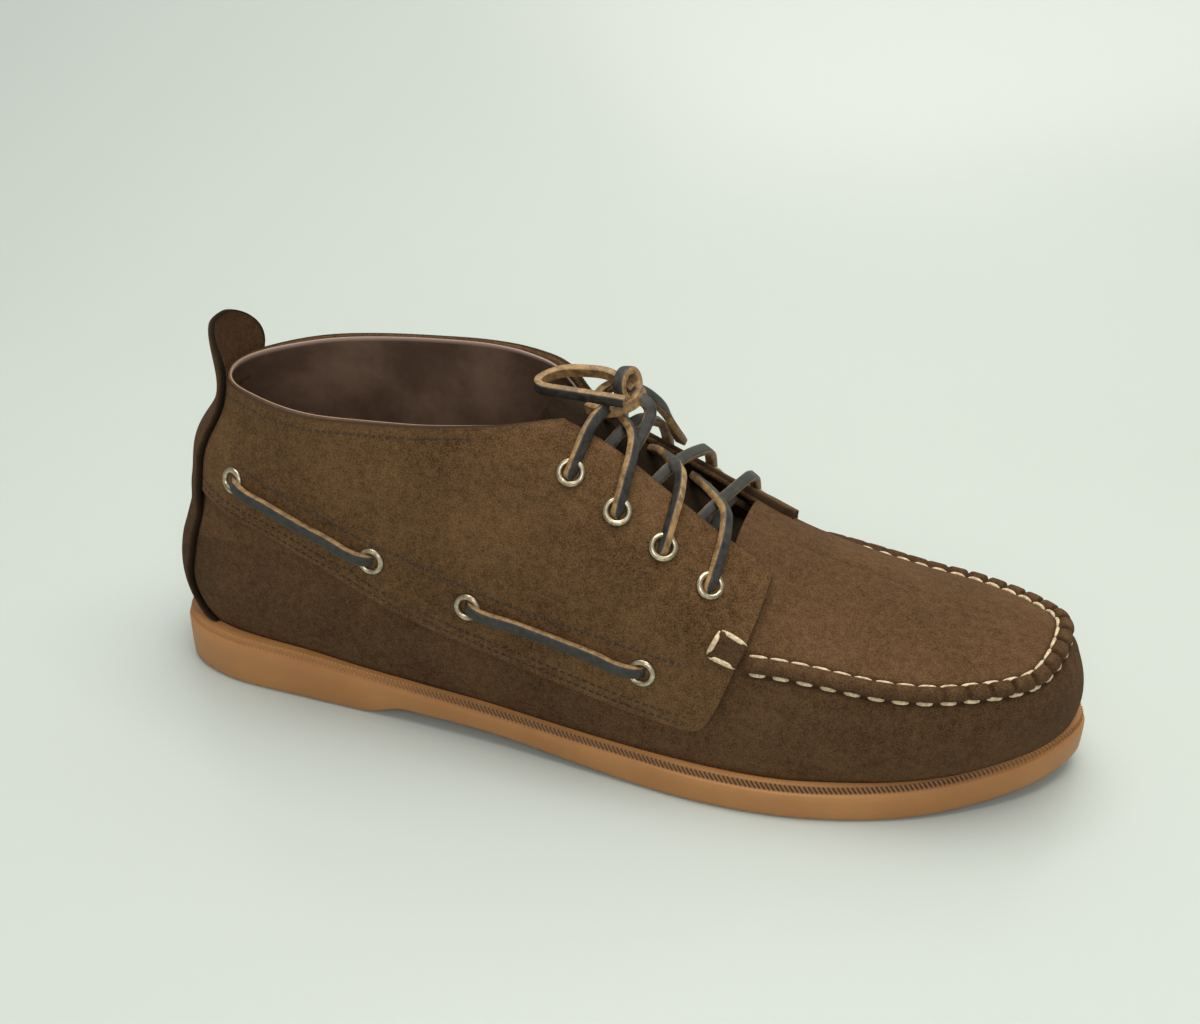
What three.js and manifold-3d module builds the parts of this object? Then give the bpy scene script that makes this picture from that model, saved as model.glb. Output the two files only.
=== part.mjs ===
// Suede lace-up boot with a moccasin toe, right foot, standing empty on its sole.
// Millimetres, +X towards the toe, +Y towards the inner (medial) side, +Z up.
import * as THREE from "three";
import { mergeVertices } from "three/addons/utils/BufferGeometryUtils.js";
import Module from "manifold-3d";

const wasm = await Module();
wasm.setup();

// Driving dimensions
const LENGTH = 304;
const BALL_WIDTH = 100;
const INSTEP_HEIGHT = 100;
const WALL = 1.8;
const QUARTER_STEP = 1.5;
const STRAP_THICKNESS = 2;
const TAB_CENTRE = -1;
const TAB_HALF_WIDTH = 15.5;
const TAB_SHOULDER = 105;
const TAB_RISE = 14;
const TONGUE_THICKNESS = 2;
const INSOLE_THICKNESS = 3;
const GAP = 0.3;

// Sole sizes
const ARCH_RISE = 4;
const TOE_SPRING = 6.5;
const SOLE_RIM = 2.6;
const RIM_STEP = 0.8;
const TREAD_BEVEL = 1.2;

// Moccasin seam sizes
const SEAM_RIDGE = 2;
const SEAM_REACH = 0.1;

// Eyelet and lace sizes
const EYELET_HOLE = 2.5;
const EYELET_BARREL = 3;
const EYELET_FLANGE = 4.5;
const BARREL_DEPTH = 3.2;
const FLANGE_SEAT = 0.45;
const FLANGE_TOP = 1.5;
const LACE_WIDTH = 3.4;
const LACE_THICKNESS = 2.4;

// Grid of the loft
const RIB_STEPS = 3;
const LEVELS = [0, 0.25, 0.5, 0.72, 0.9, 1, 1.1, 1.28, 1.46, 1.64, 1.82, 2];

// Names the columns of a table.
function rows(columns, values) {
  return values.map((row) => Object.fromEntries(columns.map((name, i) => [name, row[i]])));
}

// In the tables: along is percent of LENGTH from the heel, up is percent of INSTEP_HEIGHT,
// lateral and medial are percent of BALL_WIDTH off the centre line.

// Outline of the sole, one row per section from heel to toe.
const SOLE = rows(["along", "lateral", "medial"], [
  [0, -1, 1],
  [1.6, 20.5, 20.5],
  [7.9, 32, 31.5],
  [17.8, 35.6, 33.5],
  [29, 38.2, 30.5],
  [40.9, 42, 29],
  [52.4, 47.4, 35],
  [63.9, 52.2, 44],
  [73.8, 51, 49],
  [83.7, 42.4, 46],
  [91.6, 29, 37.5],
  [97.2, 14, 22.5],
  [100, -4, 4],
]);

// Height of the sole's top edge.
const SOLE_TOP = rows(["along", "up"], [
  [0, 18.3],
  [18, 17.4],
  [29, 15.2],
  [41, 13.5],
  [52, 12.5],
  [64, 12],
  [74, 12.1],
  [84, 13.2],
  [92, 15.5],
  [100, 19.2],
]);

// Feather rail, where the upper meets the sole.
const FEATHER = rows(["along", "lateral", "medial"], [
  [1.5, -1, 1],
  [3.6, 18, 18.5],
  [8.9, 28, 28],
  [19.4, 32.5, 31],
  [30.3, 35.5, 27.5],
  [40.9, 39, 26.5],
  [50.7, 43.5, 32],
  [61.3, 48, 41],
  [71.2, 48.5, 46],
  [82.7, 41.5, 43.5],
  [89.6, 32, 37],
  [96.2, 15.5, 22.5],
  [99, -4, 4],
]);

// Bend rail: the widest line of the heel and the quarters, then the moccasin seam.
const BEND = rows(["along", "up", "lateral", "medial"], [
  [0.2, 44, -1, 1],
  [2.7, 46, 18.5, 19],
  [8.2, 50, 29, 29.5],
  [19.4, 53, 36, 34],
  [30.3, 52, 38.5, 34],
  [41.5, 50, 41, 36],
  [50.7, 48.5, 43.5, 39],
  [60.6, 47.5, 45, 42],
  [70.5, 47, 42.5, 41],
  [81, 44.5, 41, 37],
  [88, 45, 36, 31.5],
  [94.4, 46.5, 24, 18.5],
  [96.7, 48.5, -2.5, 2.5],
]);

// Crest rail: above the collar round the ankle, then along the ridge of the instep and toe.
const CREST = rows(["along", "up", "lateral", "medial"], [
  [7.8, 122, 0, 0],
  [9.2, 122, 10.5, 11.5],
  [13, 122, 18.5, 20],
  [20.4, 122, 29.5, 30],
  [30.3, 122, 27.5, 29],
  [38.9, 122, 19, 20],
  [46.8, 111, 0, 0],
  [56.7, 89, 0, 0],
  [67.2, 68.5, 0, 0],
  [78.7, 58.5, 0, 0],
  [84.3, 54.6, 0, 0],
  [88, 52.4, 0, 0],
  [89.3, 52, 0, 0],
]);

// Swell of the wall between feather and bend in millimetres. Above the bend, round bows the rib
// out, and lateral and medial level it off towards the crest on either side, each from 0, straight,
// to 1, a quarter ellipse. The medial side of the throat is drawn down by the tied lace.
const FULLNESS = rows(["swell", "round", "lateral", "medial"], [
  [2.6, -0.15, -0.15, -0.15],
  [2.4, -0.1, -0.1, -0.1],
  [2.2, 0.1, 0.1, 0.1],
  [1.6, 0.3, 0.3, 0.3],
  [1.4, 0.35, 0.35, 0.35],
  [1.4, 0.5, 0.5, 0.4],
  [0.8, 0.85, 0.95, 0],
  [1, 0.75, 1, 0.35],
  [3, 0.15, 0.85, 0.95],
  [3.8, 0.1, 0.8, 0.8],
  [3.6, 0.1, 0.8, 0.8],
  [3.4, 0.1, 0.8, 0.8],
  [3.4, 0.1, 0.8, 0.8],
]);

// Side-view outline of a quarter: lower edge from the heel, front edge, then over the top.
const QUARTER_EDGE = rows(["along", "up"], [
  [-5, 67],
  [5.7, 65],
  [10.2, 61.5],
  [15.3, 59],
  [22.6, 52],
  [29.3, 43.5],
  [36.1, 37.6],
  [44.2, 32.5],
  [52.9, 27.3],
  [59.5, 24.3],
  [62.3, 24],
  [63.8, 26.5],
  [65, 34],
  [66.2, 45],
  [67.4, 57],
  [67.8, 66],
  [67.4, 74],
  [66, 130],
  [-5, 130],
]);

// Collar line in side view, lower on the lateral side than on the medial side.
const COLLAR = rows(["along", "lateral", "medial"], [
  [-10, 103.5, 104],
  [8, 103.5, 104.5],
  [14, 103.5, 106],
  [20, 103.5, 106.5],
  [26, 104, 107.8],
  [32, 104.5, 109.3],
  [36, 105.5, 109.5],
  [40, 106.5, 108.6],
  [44.5, 107.3, 107.8],
  [48, 107, 107],
  [52, 106, 106],
]);

// Eyelets on each quarter: four for lacing, four that carry the side lace.
const LACING = {
  lateral: rows(["along", "up"], [
    [48, 94.5],
    [53, 85.4],
    [57.7, 76.3],
    [62.5, 66.1],
  ]),
  medial: rows(["along", "up"], [
    [47.6, 83],
    [53, 74.7],
    [57.7, 69.8],
    [62.5, 63.6],
  ]),
};
const lacingOn = (side) => (side < 0 ? LACING.lateral : LACING.medial);
const SIDE_LACE = rows(["along", "up"], [
  [10.9, 75.2],
  [27.6, 59.8],
  [38.4, 50.5],
  [57.2, 40.9],
]);

const { lerp, smoothstep, clamp, degToRad } = THREE.MathUtils;
const alongToX = (along) => (along / 100 - 0.5) * LENGTH;
const xToAlong = (x) => (x / LENGTH + 0.5) * 100;
const upToZ = (up) => (up / 100) * INSTEP_HEIGHT;
const shareToY = (share) => (share / 100) * BALL_WIDTH;

// Smooth curve through the rows of a profile table, read at one place along the boot.
function profile(table, along) {
  const place = clamp(along, table[0].along, table.at(-1).along);
  const i = clamp(table.findIndex((row) => row.along >= place) - 1, 0, table.length - 2);
  const slope = (k) => {
    const before = table[Math.max(k - 1, 0)];
    const after = table[Math.min(k + 1, table.length - 1)];
    return (after.up - before.up) / (after.along - before.along);
  };
  const [a, b] = [table[i], table[i + 1]];
  const span = b.along - a.along;
  const t = (place - a.along) / span;
  const start = (1 + 2 * t) * (1 - t) ** 2 * a.up + t * (1 - t) ** 2 * span * slope(i);
  const end = t * t * (3 - 2 * t) * b.up + t * t * (t - 1) * span * slope(i + 1);
  return upToZ(start + end);
}

const soleTop = (x) => profile(SOLE_TOP, xToAlong(x));

// Underside of the sole: flat heel, raised arch, flat forefoot, toe spring.
function soleBottom(x) {
  const along = xToAlong(x);
  const arch = smoothstep(along, 25, 30) * (1 - smoothstep(along, 36, 60));
  const spring = clamp((along - 80) / 20, 0, 1) ** 1.8;
  return ARCH_RISE * arch + TOE_SPRING * spring;
}

// A closed curve round the boot: heel, lateral side, toe, then back along the medial side.
function loopOf(table, toPoint) {
  const lateral = table.map((row) => toPoint(row, -1));
  const medial = table.slice(1, -1).reverse().map((row) => toPoint(row, 1));
  return new THREE.CatmullRomCurve3([...lateral, ...medial], true, "catmullrom");
}

function railOf(table, height) {
  return loopOf(table, (row, side) => {
    const x = alongToX(row.along);
    const y = shareToY(side < 0 ? -row.lateral : row.medial);
    return new THREE.Vector3(x, y, height ? height(x) : upToZ(row.up));
  });
}

const outline = railOf(SOLE, soleTop);
const feather = railOf(FEATHER, (x) => soleTop(x) + GAP);
const bend = railOf(BEND);
const crest = railOf(CREST);
const fullness = loopOf(
  FULLNESS,
  (row, side) => new THREE.Vector3(row.swell, row.round, side < 0 ? row.lateral : row.medial),
);

const wrap = (w) => ((w % 1) + 1) % 1;

// Level direction pointing out of a rail.
function outwardOf(rail, w) {
  const ahead = rail.getPoint(wrap(w + 0.001)).sub(rail.getPoint(wrap(w - 0.001)));
  return new THREE.Vector3(ahead.y, -ahead.x, 0).normalize();
}

// A point of the last at loop position w, 0 to 1, and level v: 0 feather, 1 bend, 2 crest.
function lastPoint(w, v) {
  const turn = wrap(w);
  const middle = bend.getPoint(turn);
  const { x: swell, y: round, z: crown } = fullness.getPoint(turn);
  if (v <= 1) {
    const low = feather.getPoint(turn);
    low.z = soleTop(low.x) + GAP;
    const out = outwardOf(feather, turn);
    return low.lerp(middle, v).addScaledVector(out, 4 * swell * v * (1 - v));
  }
  const high = crest.getPoint(turn);
  high.y = turn < 0.5 ? Math.min(high.y, 0) : Math.max(high.y, 0);
  const quarterTurn = ((v - 1) * Math.PI) / 2;
  const across = lerp(v - 1, 1 - Math.cos(quarterTurn), round);
  const upward = lerp(v - 1, Math.sin(quarterTurn), crown);
  return new THREE.Vector3(
    lerp(middle.x, high.x, across),
    lerp(middle.y, high.y, across),
    lerp(middle.z, high.z, upward),
  );
}

// Outward normal of the last. Both sides of the ridge share one.
function lastNormal(w, v) {
  const at = Math.min(v, 1.96);
  const ahead = lastPoint(w + 0.002, at).sub(lastPoint(w - 0.002, at));
  const rise = lastPoint(w, at + 0.04).sub(lastPoint(w, Math.max(at - 0.04, 0)));
  return ahead.cross(rise).normalize();
}

// Point on the last set off by depth, a number or a function of the point.
function surfacePoint(w, v, depth) {
  const point = lastPoint(w, v);
  const normal = lastNormal(w, v);
  if (v === 2 && Math.abs(point.y) < 0.01) {
    normal.add(lastNormal(1 - w, v)).normalize();
  }
  const offset = typeof depth === "function" ? depth(point, w, v) : depth;
  return point.addScaledVector(normal, offset);
}

// Raised moccasin seam along the bend, fading out under the quarters.
function seamRidge(point, w, v) {
  const near = Math.max(0, 1 - Math.abs(v - 1) / SEAM_REACH);
  return SEAM_RIDGE * near * smoothstep(xToAlong(point.x), 62, 68);
}

// Closed solid through rings of points. Ends either come to a line or are capped.
function loft(rings, capped = false) {
  const size = rings[0].length;
  const index = [];
  for (let r = 0; r + 1 < rings.length; r += 1) {
    for (let i = 0; i < size; i += 1) {
      const a = r * size + i;
      const b = r * size + ((i + 1) % size);
      index.push(a, b, b + size, a, b + size, a + size);
    }
  }
  const end = (rings.length - 1) * size;
  for (let i = 1; capped && i + 1 < size; i += 1) {
    index.push(0, i + 1, i, end, end + i, end + i + 1);
  }
  const geometry = new THREE.BufferGeometry().setFromPoints(rings.flat());
  geometry.setIndex(index);
  return solidOf(geometry);
}

// Solid of a closed geometry, facing out.
function solidOf(source) {
  const geometry = source.index ? source.clone() : source;
  geometry.deleteAttribute("normal");
  geometry.deleteAttribute("uv");
  const merged = mergeVertices(geometry, 1e-4);
  const faces = [];
  for (let i = 0; i < merged.index.count; i += 3) {
    const [a, b, c] = [0, 1, 2].map((k) => merged.index.getX(i + k));
    if (a !== b && b !== c && c !== a) {
      faces.push([a, b, c]);
    }
  }
  const vertProperties = new Float32Array(merged.attributes.position.array);
  const build = (list) =>
    new wasm.Manifold(
      new wasm.Mesh({ numProp: 3, vertProperties, triVerts: new Uint32Array(list.flat()) }),
    );
  const solid = build(faces);
  return solid.volume() < 0 ? build(faces.map(([a, b, c]) => [a, c, b])) : solid;
}

// The last as a solid, set off by depth and run on below the feather.
function form(depth, below = 0) {
  const last = (FEATHER.length - 1) * RIB_STEPS;
  const rings = [];
  for (let k = 0; k <= last; k += 1) {
    const w = k / (2 * last);
    const rib = (side) => {
      const points = LEVELS.map((v) => surfacePoint(side, v, depth));
      const foot = points[0].clone();
      foot.z -= below;
      return below ? [foot, ...points] : points;
    };
    rings.push([...rib(w), ...rib(1 - w).reverse()]);
  }
  return loft(rings);
}

// Prism of a side-view outline, running across the boot.
function sidePrism(points, yFrom, yTo) {
  const shape = new THREE.Shape(points.map(([x, z]) => new THREE.Vector2(x, z)));
  const geometry = new THREE.ExtrudeGeometry(shape, { depth: yTo - yFrom, bevelEnabled: false });
  geometry.rotateX(Math.PI / 2).translate(0, yTo, 0);
  return solidOf(geometry);
}

// Prism of a plan-view outline, running up.
function planPrism(points, zFrom, zTo) {
  const shape = new THREE.Shape(points.map(([x, y]) => new THREE.Vector2(x, y)));
  const geometry = new THREE.ExtrudeGeometry(shape, { depth: zTo - zFrom, bevelEnabled: false });
  geometry.translate(0, 0, zFrom);
  return solidOf(geometry);
}

// Loop position and level of the last where it passes a side-view place on one side.
function findOnSide(x, z, side) {
  return search((p) => (p.x - x) ** 2 + (p.z - z) ** 2, side, 0, 2);
}

// The same for a plan-view place on the crown.
function findOnCrown(x, y) {
  return search((p) => (p.x - x) ** 2 + (p.y - y) ** 2, y < 0 ? -1 : 1, 1, 2);
}

function search(miss, side, lowest, highest) {
  let best = { w: 0.25, v: (lowest + highest) / 2 };
  let step = { w: 0.24, v: (highest - lowest) / 2 };
  for (let round = 0; round < 12; round += 1) {
    const centre = best;
    let least = Infinity;
    for (let i = -8; i <= 8; i += 1) {
      for (let j = -8; j <= 8; j += 1) {
        const w = clamp(centre.w + (step.w * i) / 8, 0, 0.5);
        const v = clamp(centre.v + (step.v * j) / 8, lowest, highest);
        const value = miss(lastPoint(side < 0 ? w : 1 - w, v));
        if (value < least) {
          least = value;
          best = { w, v };
        }
      }
    }
    step = { w: step.w * 0.4, v: step.v * 0.4 };
  }
  return { w: side < 0 ? best.w : 1 - best.w, v: best.v };
}

// Outsole: bevelled tread edge, side wall, a small step and the rim the upper stands on.
function outsole() {
  const last = (SOLE.length - 1) * RIB_STEPS;
  const rings = [];
  for (let k = 0; k <= last; k += 1) {
    const w = k / (2 * last);
    const side = (turn) => {
      const edge = outline.getPoint(wrap(turn));
      const out = outwardOf(outline, turn);
      const level = (inset, z) => edge.clone().addScaledVector(out, -inset).setZ(z);
      const top = soleTop(edge.x);
      const bottom = soleBottom(edge.x);
      return [
        level(TREAD_BEVEL, bottom),
        level(TREAD_BEVEL / 4, bottom + TREAD_BEVEL),
        level(0, top - SOLE_RIM),
        level(RIM_STEP, top - SOLE_RIM),
        level(RIM_STEP, top),
      ];
    };
    rings.push([...side(w), ...side(1 - w).reverse()]);
  }
  return loft(rings);
}

// Insole: lies on the sole inside the upper.
function insole() {
  const last = (FEATHER.length - 1) * RIB_STEPS;
  const rings = [];
  for (let k = 0; k <= last; k += 1) {
    const w = k / (2 * last);
    const side = (turn) => {
      const edge = feather.getPoint(wrap(turn)).addScaledVector(outwardOf(feather, turn), -WALL - 0.6);
      const low = soleTop(edge.x) + GAP;
      return [edge.clone().setZ(low), edge.clone().setZ(low + INSOLE_THICKNESS)];
    };
    rings.push([...side(w), ...side(1 - w).reverse()]);
  }
  return loft(rings);
}

const side2d = (table) => table.map((row) => [alongToX(row.along), upToZ(row.up)]);

// Throat opening in plan, from its front end to behind the ankle.
const THROAT_LATERAL = -18.5;
const THROAT_MEDIAL = 16.5;
function throat(front) {
  return planPrism(
    [
      [alongToX(30), THROAT_LATERAL],
      [front - 4, THROAT_LATERAL],
      [front, THROAT_LATERAL + 5],
      [front, THROAT_MEDIAL - 5],
      [front - 4, THROAT_MEDIAL],
      [alongToX(30), THROAT_MEDIAL],
    ],
    50,
    140,
  );
}

// Everything above the collar line.
function aboveCollar() {
  const half = (sideName, yFrom, yTo) => {
    const line = COLLAR.map((row) => [alongToX(row.along), upToZ(row[sideName])]);
    const [first, final] = [line[0], line.at(-1)];
    return sidePrism([...line, [final[0], 150], [first[0], 150]], yFrom, yTo);
  };
  return half("lateral", -80, 0).add(half("medial", 0, 80));
}

const placed = (table, side, depth) =>
  table.map(({ along, up }) => {
    const { w, v } = findOnSide(alongToX(along), upToZ(up), side);
    return { point: surfacePoint(w, v, depth), normal: lastNormal(w, v) };
  });

const eyeletPlaces = [];
for (const [sideName, side] of [["lateral", -1], ["medial", 1]]) {
  placed(lacingOn(side), side, QUARTER_STEP).forEach((place, i) => {
    eyeletPlaces.push({ ...place, name: `eyelet_${sideName}_${i + 1}` });
  });
  placed(SIDE_LACE, side, QUARTER_STEP).forEach((place, i) => {
    eyeletPlaces.push({ ...place, name: `side_eyelet_${sideName}_${i + 1}` });
  });
}

const turnTo = (normal) =>
  new THREE.Quaternion().setFromUnitVectors(new THREE.Vector3(0, 1, 0), normal);

// Upper: one hollow wall with the quarters as a step in it, open at collar, throat and underneath.
function upper() {
  const shell = form(seamRidge).subtract(form(-WALL, 10));
  const quarters = form(QUARTER_STEP)
    .subtract(form(-WALL / 2, 10))
    .intersect(sidePrism(side2d(QUARTER_EDGE), -80, 80))
    .subtract(throat(alongToX(72)));
  let wall = shell.add(quarters).subtract(aboveCollar()).subtract(throat(alongToX(64)));
  for (const { point, normal } of eyeletPlaces) {
    const drill = new THREE.CylinderGeometry(EYELET_BARREL + GAP, EYELET_BARREL + GAP, 16, 10);
    drill.applyQuaternion(turnTo(normal)).translate(...point);
    wall = wall.subtract(solidOf(drill));
  }
  return wall;
}

// Tongue: lies under the laces and runs forward under the toe piece.
function tongue() {
  const drop = (p) => -WALL - lerp(4.4, 0.4, smoothstep(xToAlong(p.x), 63.5, 66.5));
  const under = (p) => drop(p) - TONGUE_THICKNESS;
  const plan = [
    [alongToX(40.5), -22],
    [alongToX(66), -23],
    [alongToX(68.5), -17],
    [alongToX(68.5), 15],
    [alongToX(66), 21],
    [alongToX(40.5), 20],
  ];
  return form(drop).subtract(form(under, 10)).intersect(planPrism(plan, 52, 110));
}

// Half the width of the back strap at heights up the heel, in millimetres.
const STRAP_EDGE = rows(["half", "up"], [
  [25.5, 18.9],
  [23, 23],
  [22.6, 30],
  [23.8, 42],
  [22.6, 50],
  [21, 61],
  [17.4, 77],
  [15.2, 97],
]);

// Back strap: from the sole up the heel, ending in a rounded tab above the collar.
function backStrap() {
  const onQuarter = (p) => smoothstep(p.z, 46, 55) * QUARTER_STEP;
  const inside = (p) => onQuarter(p) + GAP;
  const outside = (p) => onQuarter(p) + GAP + STRAP_THICKNESS;
  const tab = [];
  for (let i = 0; i <= 10; i += 1) {
    const angle = (i / 10) * Math.PI;
    const y = TAB_CENTRE + TAB_HALF_WIDTH * Math.cos(angle);
    tab.push([y, TAB_SHOULDER + TAB_RISE * Math.sin(angle)]);
  }
  const edge = (side) => STRAP_EDGE.map(({ half, up }) => [side * half, upToZ(up)]);
  const shape = new THREE.Shape(
    [...edge(-1).reverse(), ...edge(1), ...tab].map(([y, z]) => new THREE.Vector2(y, z)),
  );
  const prism = new THREE.ExtrudeGeometry(shape, { depth: 60, bevelEnabled: false });
  prism.rotateX(Math.PI / 2).rotateZ(Math.PI / 2).translate(alongToX(-4), 0, 0);
  return form(outside).subtract(form(inside, 10)).intersect(solidOf(prism));
}

// Eyelet: barrel through the wall with a rounded flange outside.
function eyelet({ point, normal }) {
  const section = [
    [EYELET_HOLE, -BARREL_DEPTH],
    [EYELET_BARREL, -BARREL_DEPTH],
    [EYELET_BARREL, FLANGE_SEAT],
    [EYELET_FLANGE, FLANGE_SEAT],
    [EYELET_BARREL + 0.6, FLANGE_TOP],
    [EYELET_HOLE, FLANGE_TOP - 0.3],
    [EYELET_HOLE, -BARREL_DEPTH],
  ];
  const ring = new THREE.LatheGeometry(section.map(([r, h]) => new THREE.Vector2(r, h)), 10);
  ring.applyQuaternion(turnTo(normal)).translate(...point);
  return solidOf(ring);
}

// A flat leather lace along a path. Each stop has a point and the way the flat face looks.
function lace(stops, closed = false) {
  const path = new THREE.CatmullRomCurve3(stops.map((stop) => stop.point), closed);
  const face = new THREE.CatmullRomCurve3(stops.map((stop) => stop.normal), closed);
  const steps = (stops.length - 1) * 2;
  const rings = [];
  for (let i = 0; i <= steps; i += 1) {
    const ahead = path.getTangent(i / steps);
    const across = ahead.clone().cross(face.getPoint(i / steps)).normalize();
    const up = across.clone().cross(ahead).normalize();
    const corner = (u, v) =>
      path
        .getPoint(i / steps)
        .addScaledVector(across, (u * LACE_WIDTH) / 2)
        .addScaledVector(up, (v * LACE_THICKNESS) / 2);
    rings.push([corner(-1, -1), corner(1, -1), corner(1, 1), corner(-1, 1)]);
  }
  return loft(rings, true);
}

const onSide = (along, up, side, lift) => {
  const { w, v } = findOnSide(alongToX(along), upToZ(up), side);
  return { point: surfacePoint(w, v, lift), normal: lastNormal(w, v) };
};
const onCrown = (x, y, lift) => {
  const { w, v } = findOnCrown(x, y);
  return { point: surfacePoint(w, v, lift), normal: lastNormal(w, v) };
};

// Height of a lace's middle over the last where it passes an eyelet, and where it lies on a quarter.
const LACE_ON_EYELET = QUARTER_STEP + FLANGE_TOP + GAP + LACE_THICKNESS / 2 + 0.2;
const LACE_ON_QUARTER = QUARTER_STEP + GAP + LACE_THICKNESS / 2 + 0.2;

// One strand of a crossing, from the throat edge above its eyelet to under the far edge.
// across: 0 at the near throat edge, 1 at the far one. ahead: share of the way to the next row.
// Strands from the medial side run straight across, under those from the lateral side.
const STRAND = {
  lateral: rows(["across", "ahead", "lift"], [
    [-0.2, 0.02, LACE_ON_EYELET - 0.2],
    [-0.02, 0.06, LACE_ON_QUARTER + 1.4],
    [0.15, 0.18, 4.4],
    [0.45, 0.48, 0],
    [0.8, 0.84, -3.6],
    [1.02, 0.97, -4.2],
  ]),
  medial: rows(["across", "ahead", "lift"], [
    [-0.2, 0.02, LACE_ON_EYELET - 0.2],
    [-0.02, 0.04, LACE_ON_QUARTER + 1.8],
    [0.16, 0.08, 4.6],
    [0.5, 0.2, 2.6],
    [0.78, 0.32, 0.6],
    [0.94, 0.4, -2.6],
    [1.04, 0.46, -4.2],
  ]),
};

function strand(row, next, side) {
  const [near, far] = side < 0 ? [THROAT_LATERAL, THROAT_MEDIAL] : [THROAT_MEDIAL, THROAT_LATERAL];
  const route = side < 0 ? STRAND.lateral : STRAND.medial;
  const { along, up } = lacingOn(side)[row];
  const from = alongToX(along);
  const to = alongToX(lacingOn(-side)[next].along);
  const start = onSide(along, up, side, LACE_ON_EYELET);
  const rest = route.map(({ across, ahead, lift }) =>
    onCrown(lerp(from, to, ahead), lerp(near, far, across), lift),
  );
  return lace([start, ...rest]);
}

// Straight run under both throat edges at the lowest eyelets.
function lowestRun() {
  const x = alongToX(LACING.lateral.at(-1).along) - 1.5;
  const stops = [-21, -14, -1, 12, 19].map((y) => onCrown(x, y, -4.2));
  return lace(stops);
}

// Side lace between two side eyelets, lying on the quarter.
function sideRun(from, to, side) {
  const stops = [0, 0.11, 0.26, 0.5, 0.74, 0.89, 1].map((share) => {
    const along = lerp(SIDE_LACE[from].along, SIDE_LACE[to].along, share);
    const up = lerp(SIDE_LACE[from].up, SIDE_LACE[to].up, share);
    const nearEyelet = Math.abs(share - 0.5) > 0.38;
    return onSide(along, up, side, nearEyelet ? LACE_ON_EYELET : LACE_ON_QUARTER);
  });
  return lace(stops);
}

// Strand from a top eyelet up to the knot.
function topStrand(side) {
  const { along, up } = lacingOn(side)[0];
  const start = onSide(along, up, side, LACE_ON_EYELET);
  const edge = side < 0 ? THROAT_LATERAL : THROAT_MEDIAL;
  const over = onCrown(alongToX(along) + 2, edge, LACE_ON_QUARTER + 1.5);
  const end = { point: KNOT.clone().add(new THREE.Vector3(-1, side * 4.6, -2)), normal: over.normal };
  return lace([start, over, end]);
}

// Loops and ends leave the knot. Each stop is measured from the middle of the knot, with the turn
// in plan and the lean upwards, in degrees, of the way the flat face looks.
const KNOT = new THREE.Vector3(1, -2, 111);
const free = (stops) =>
  lace(
    stops.map(([x, y, z, turn, lean]) => ({
      point: KNOT.clone().add(new THREE.Vector3(x, y, z)),
      normal: new THREE.Vector3(1, 0, 0)
        .applyAxisAngle(new THREE.Vector3(0, -1, 0), degToRad(lean))
        .applyAxisAngle(new THREE.Vector3(0, 0, 1), degToRad(turn)),
    })),
  );
const BACK_LOOP = [
  [-3.2, 1.2, 4.6, 90, 22],
  [-11, 1, 5, 92, 22],
  [-18, 0, 4.4, 105, 22],
  [-22.5, -3, 3.2, 145, 22],
  [-24, -6.5, 2.4, 190, 22],
  [-21.5, -9.6, 2.1, 245, 22],
  [-14, -10.2, 2, 268, 22],
  [-5, -10.2, 1.7, 272, 22],
  [4.5, -9.8, 1.1, 275, 22],
];
const FRONT_LOOP = [
  [5.4, -1.5, 0.2, 270, 70],
  [9.6, -2.6, -1.8, 290, 55],
  [11, -4.4, -4.6, 300, 35],
  [9.8, -8.2, -9.2, 280, 25],
  [7.8, -12.2, -13.6, 275, 25],
];
const FAR_END = [
  [4.6, 3.6, -0.2, 60, 75],
  [7.8, 7, -3.4, 60, 50],
  [11, 10.6, -8.4, 60, 45],
  [13, 14.8, -14.8, 62, 46],
  [13.8, 18.7, -19.8, 62, 48],
  [14, 22.4, -23.2, 64, 48],
  [14, 26.2, -26.4, 66, 46],
];

function knot() {
  const ball = new THREE.SphereGeometry(1, 10, 8).scale(5, 4.6, 3.6).translate(...KNOT);
  return solidOf(ball);
}

// Materials
const finish = (color, roughness, metalness = 0) =>
  new THREE.MeshStandardMaterial({ color, roughness, metalness });
const suede = finish(0x6f4c33, 0.95);
const rubber = finish(0xb98a5b, 0.7);
const leather = finish(0x4a3426, 0.7);
const brass = finish(0xb9a27c, 0.4, 1);
const thong = finish(0x3f3a36, 0.8);

const boot = new THREE.Group();
boot.name = "lace_up_boot";

function addPart(name, solid, material) {
  const { vertProperties, triVerts, numProp } = solid.getMesh();
  const geometry = new THREE.BufferGeometry();
  const stride = new THREE.InterleavedBuffer(vertProperties, numProp);
  geometry.setAttribute("position", new THREE.InterleavedBufferAttribute(stride, 3, 0));
  geometry.setIndex(new THREE.BufferAttribute(triVerts, 1));
  const mesh = new THREE.Mesh(geometry.toNonIndexed(), material);
  mesh.geometry.computeVertexNormals();
  mesh.name = name;
  boot.add(mesh);
}

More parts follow.
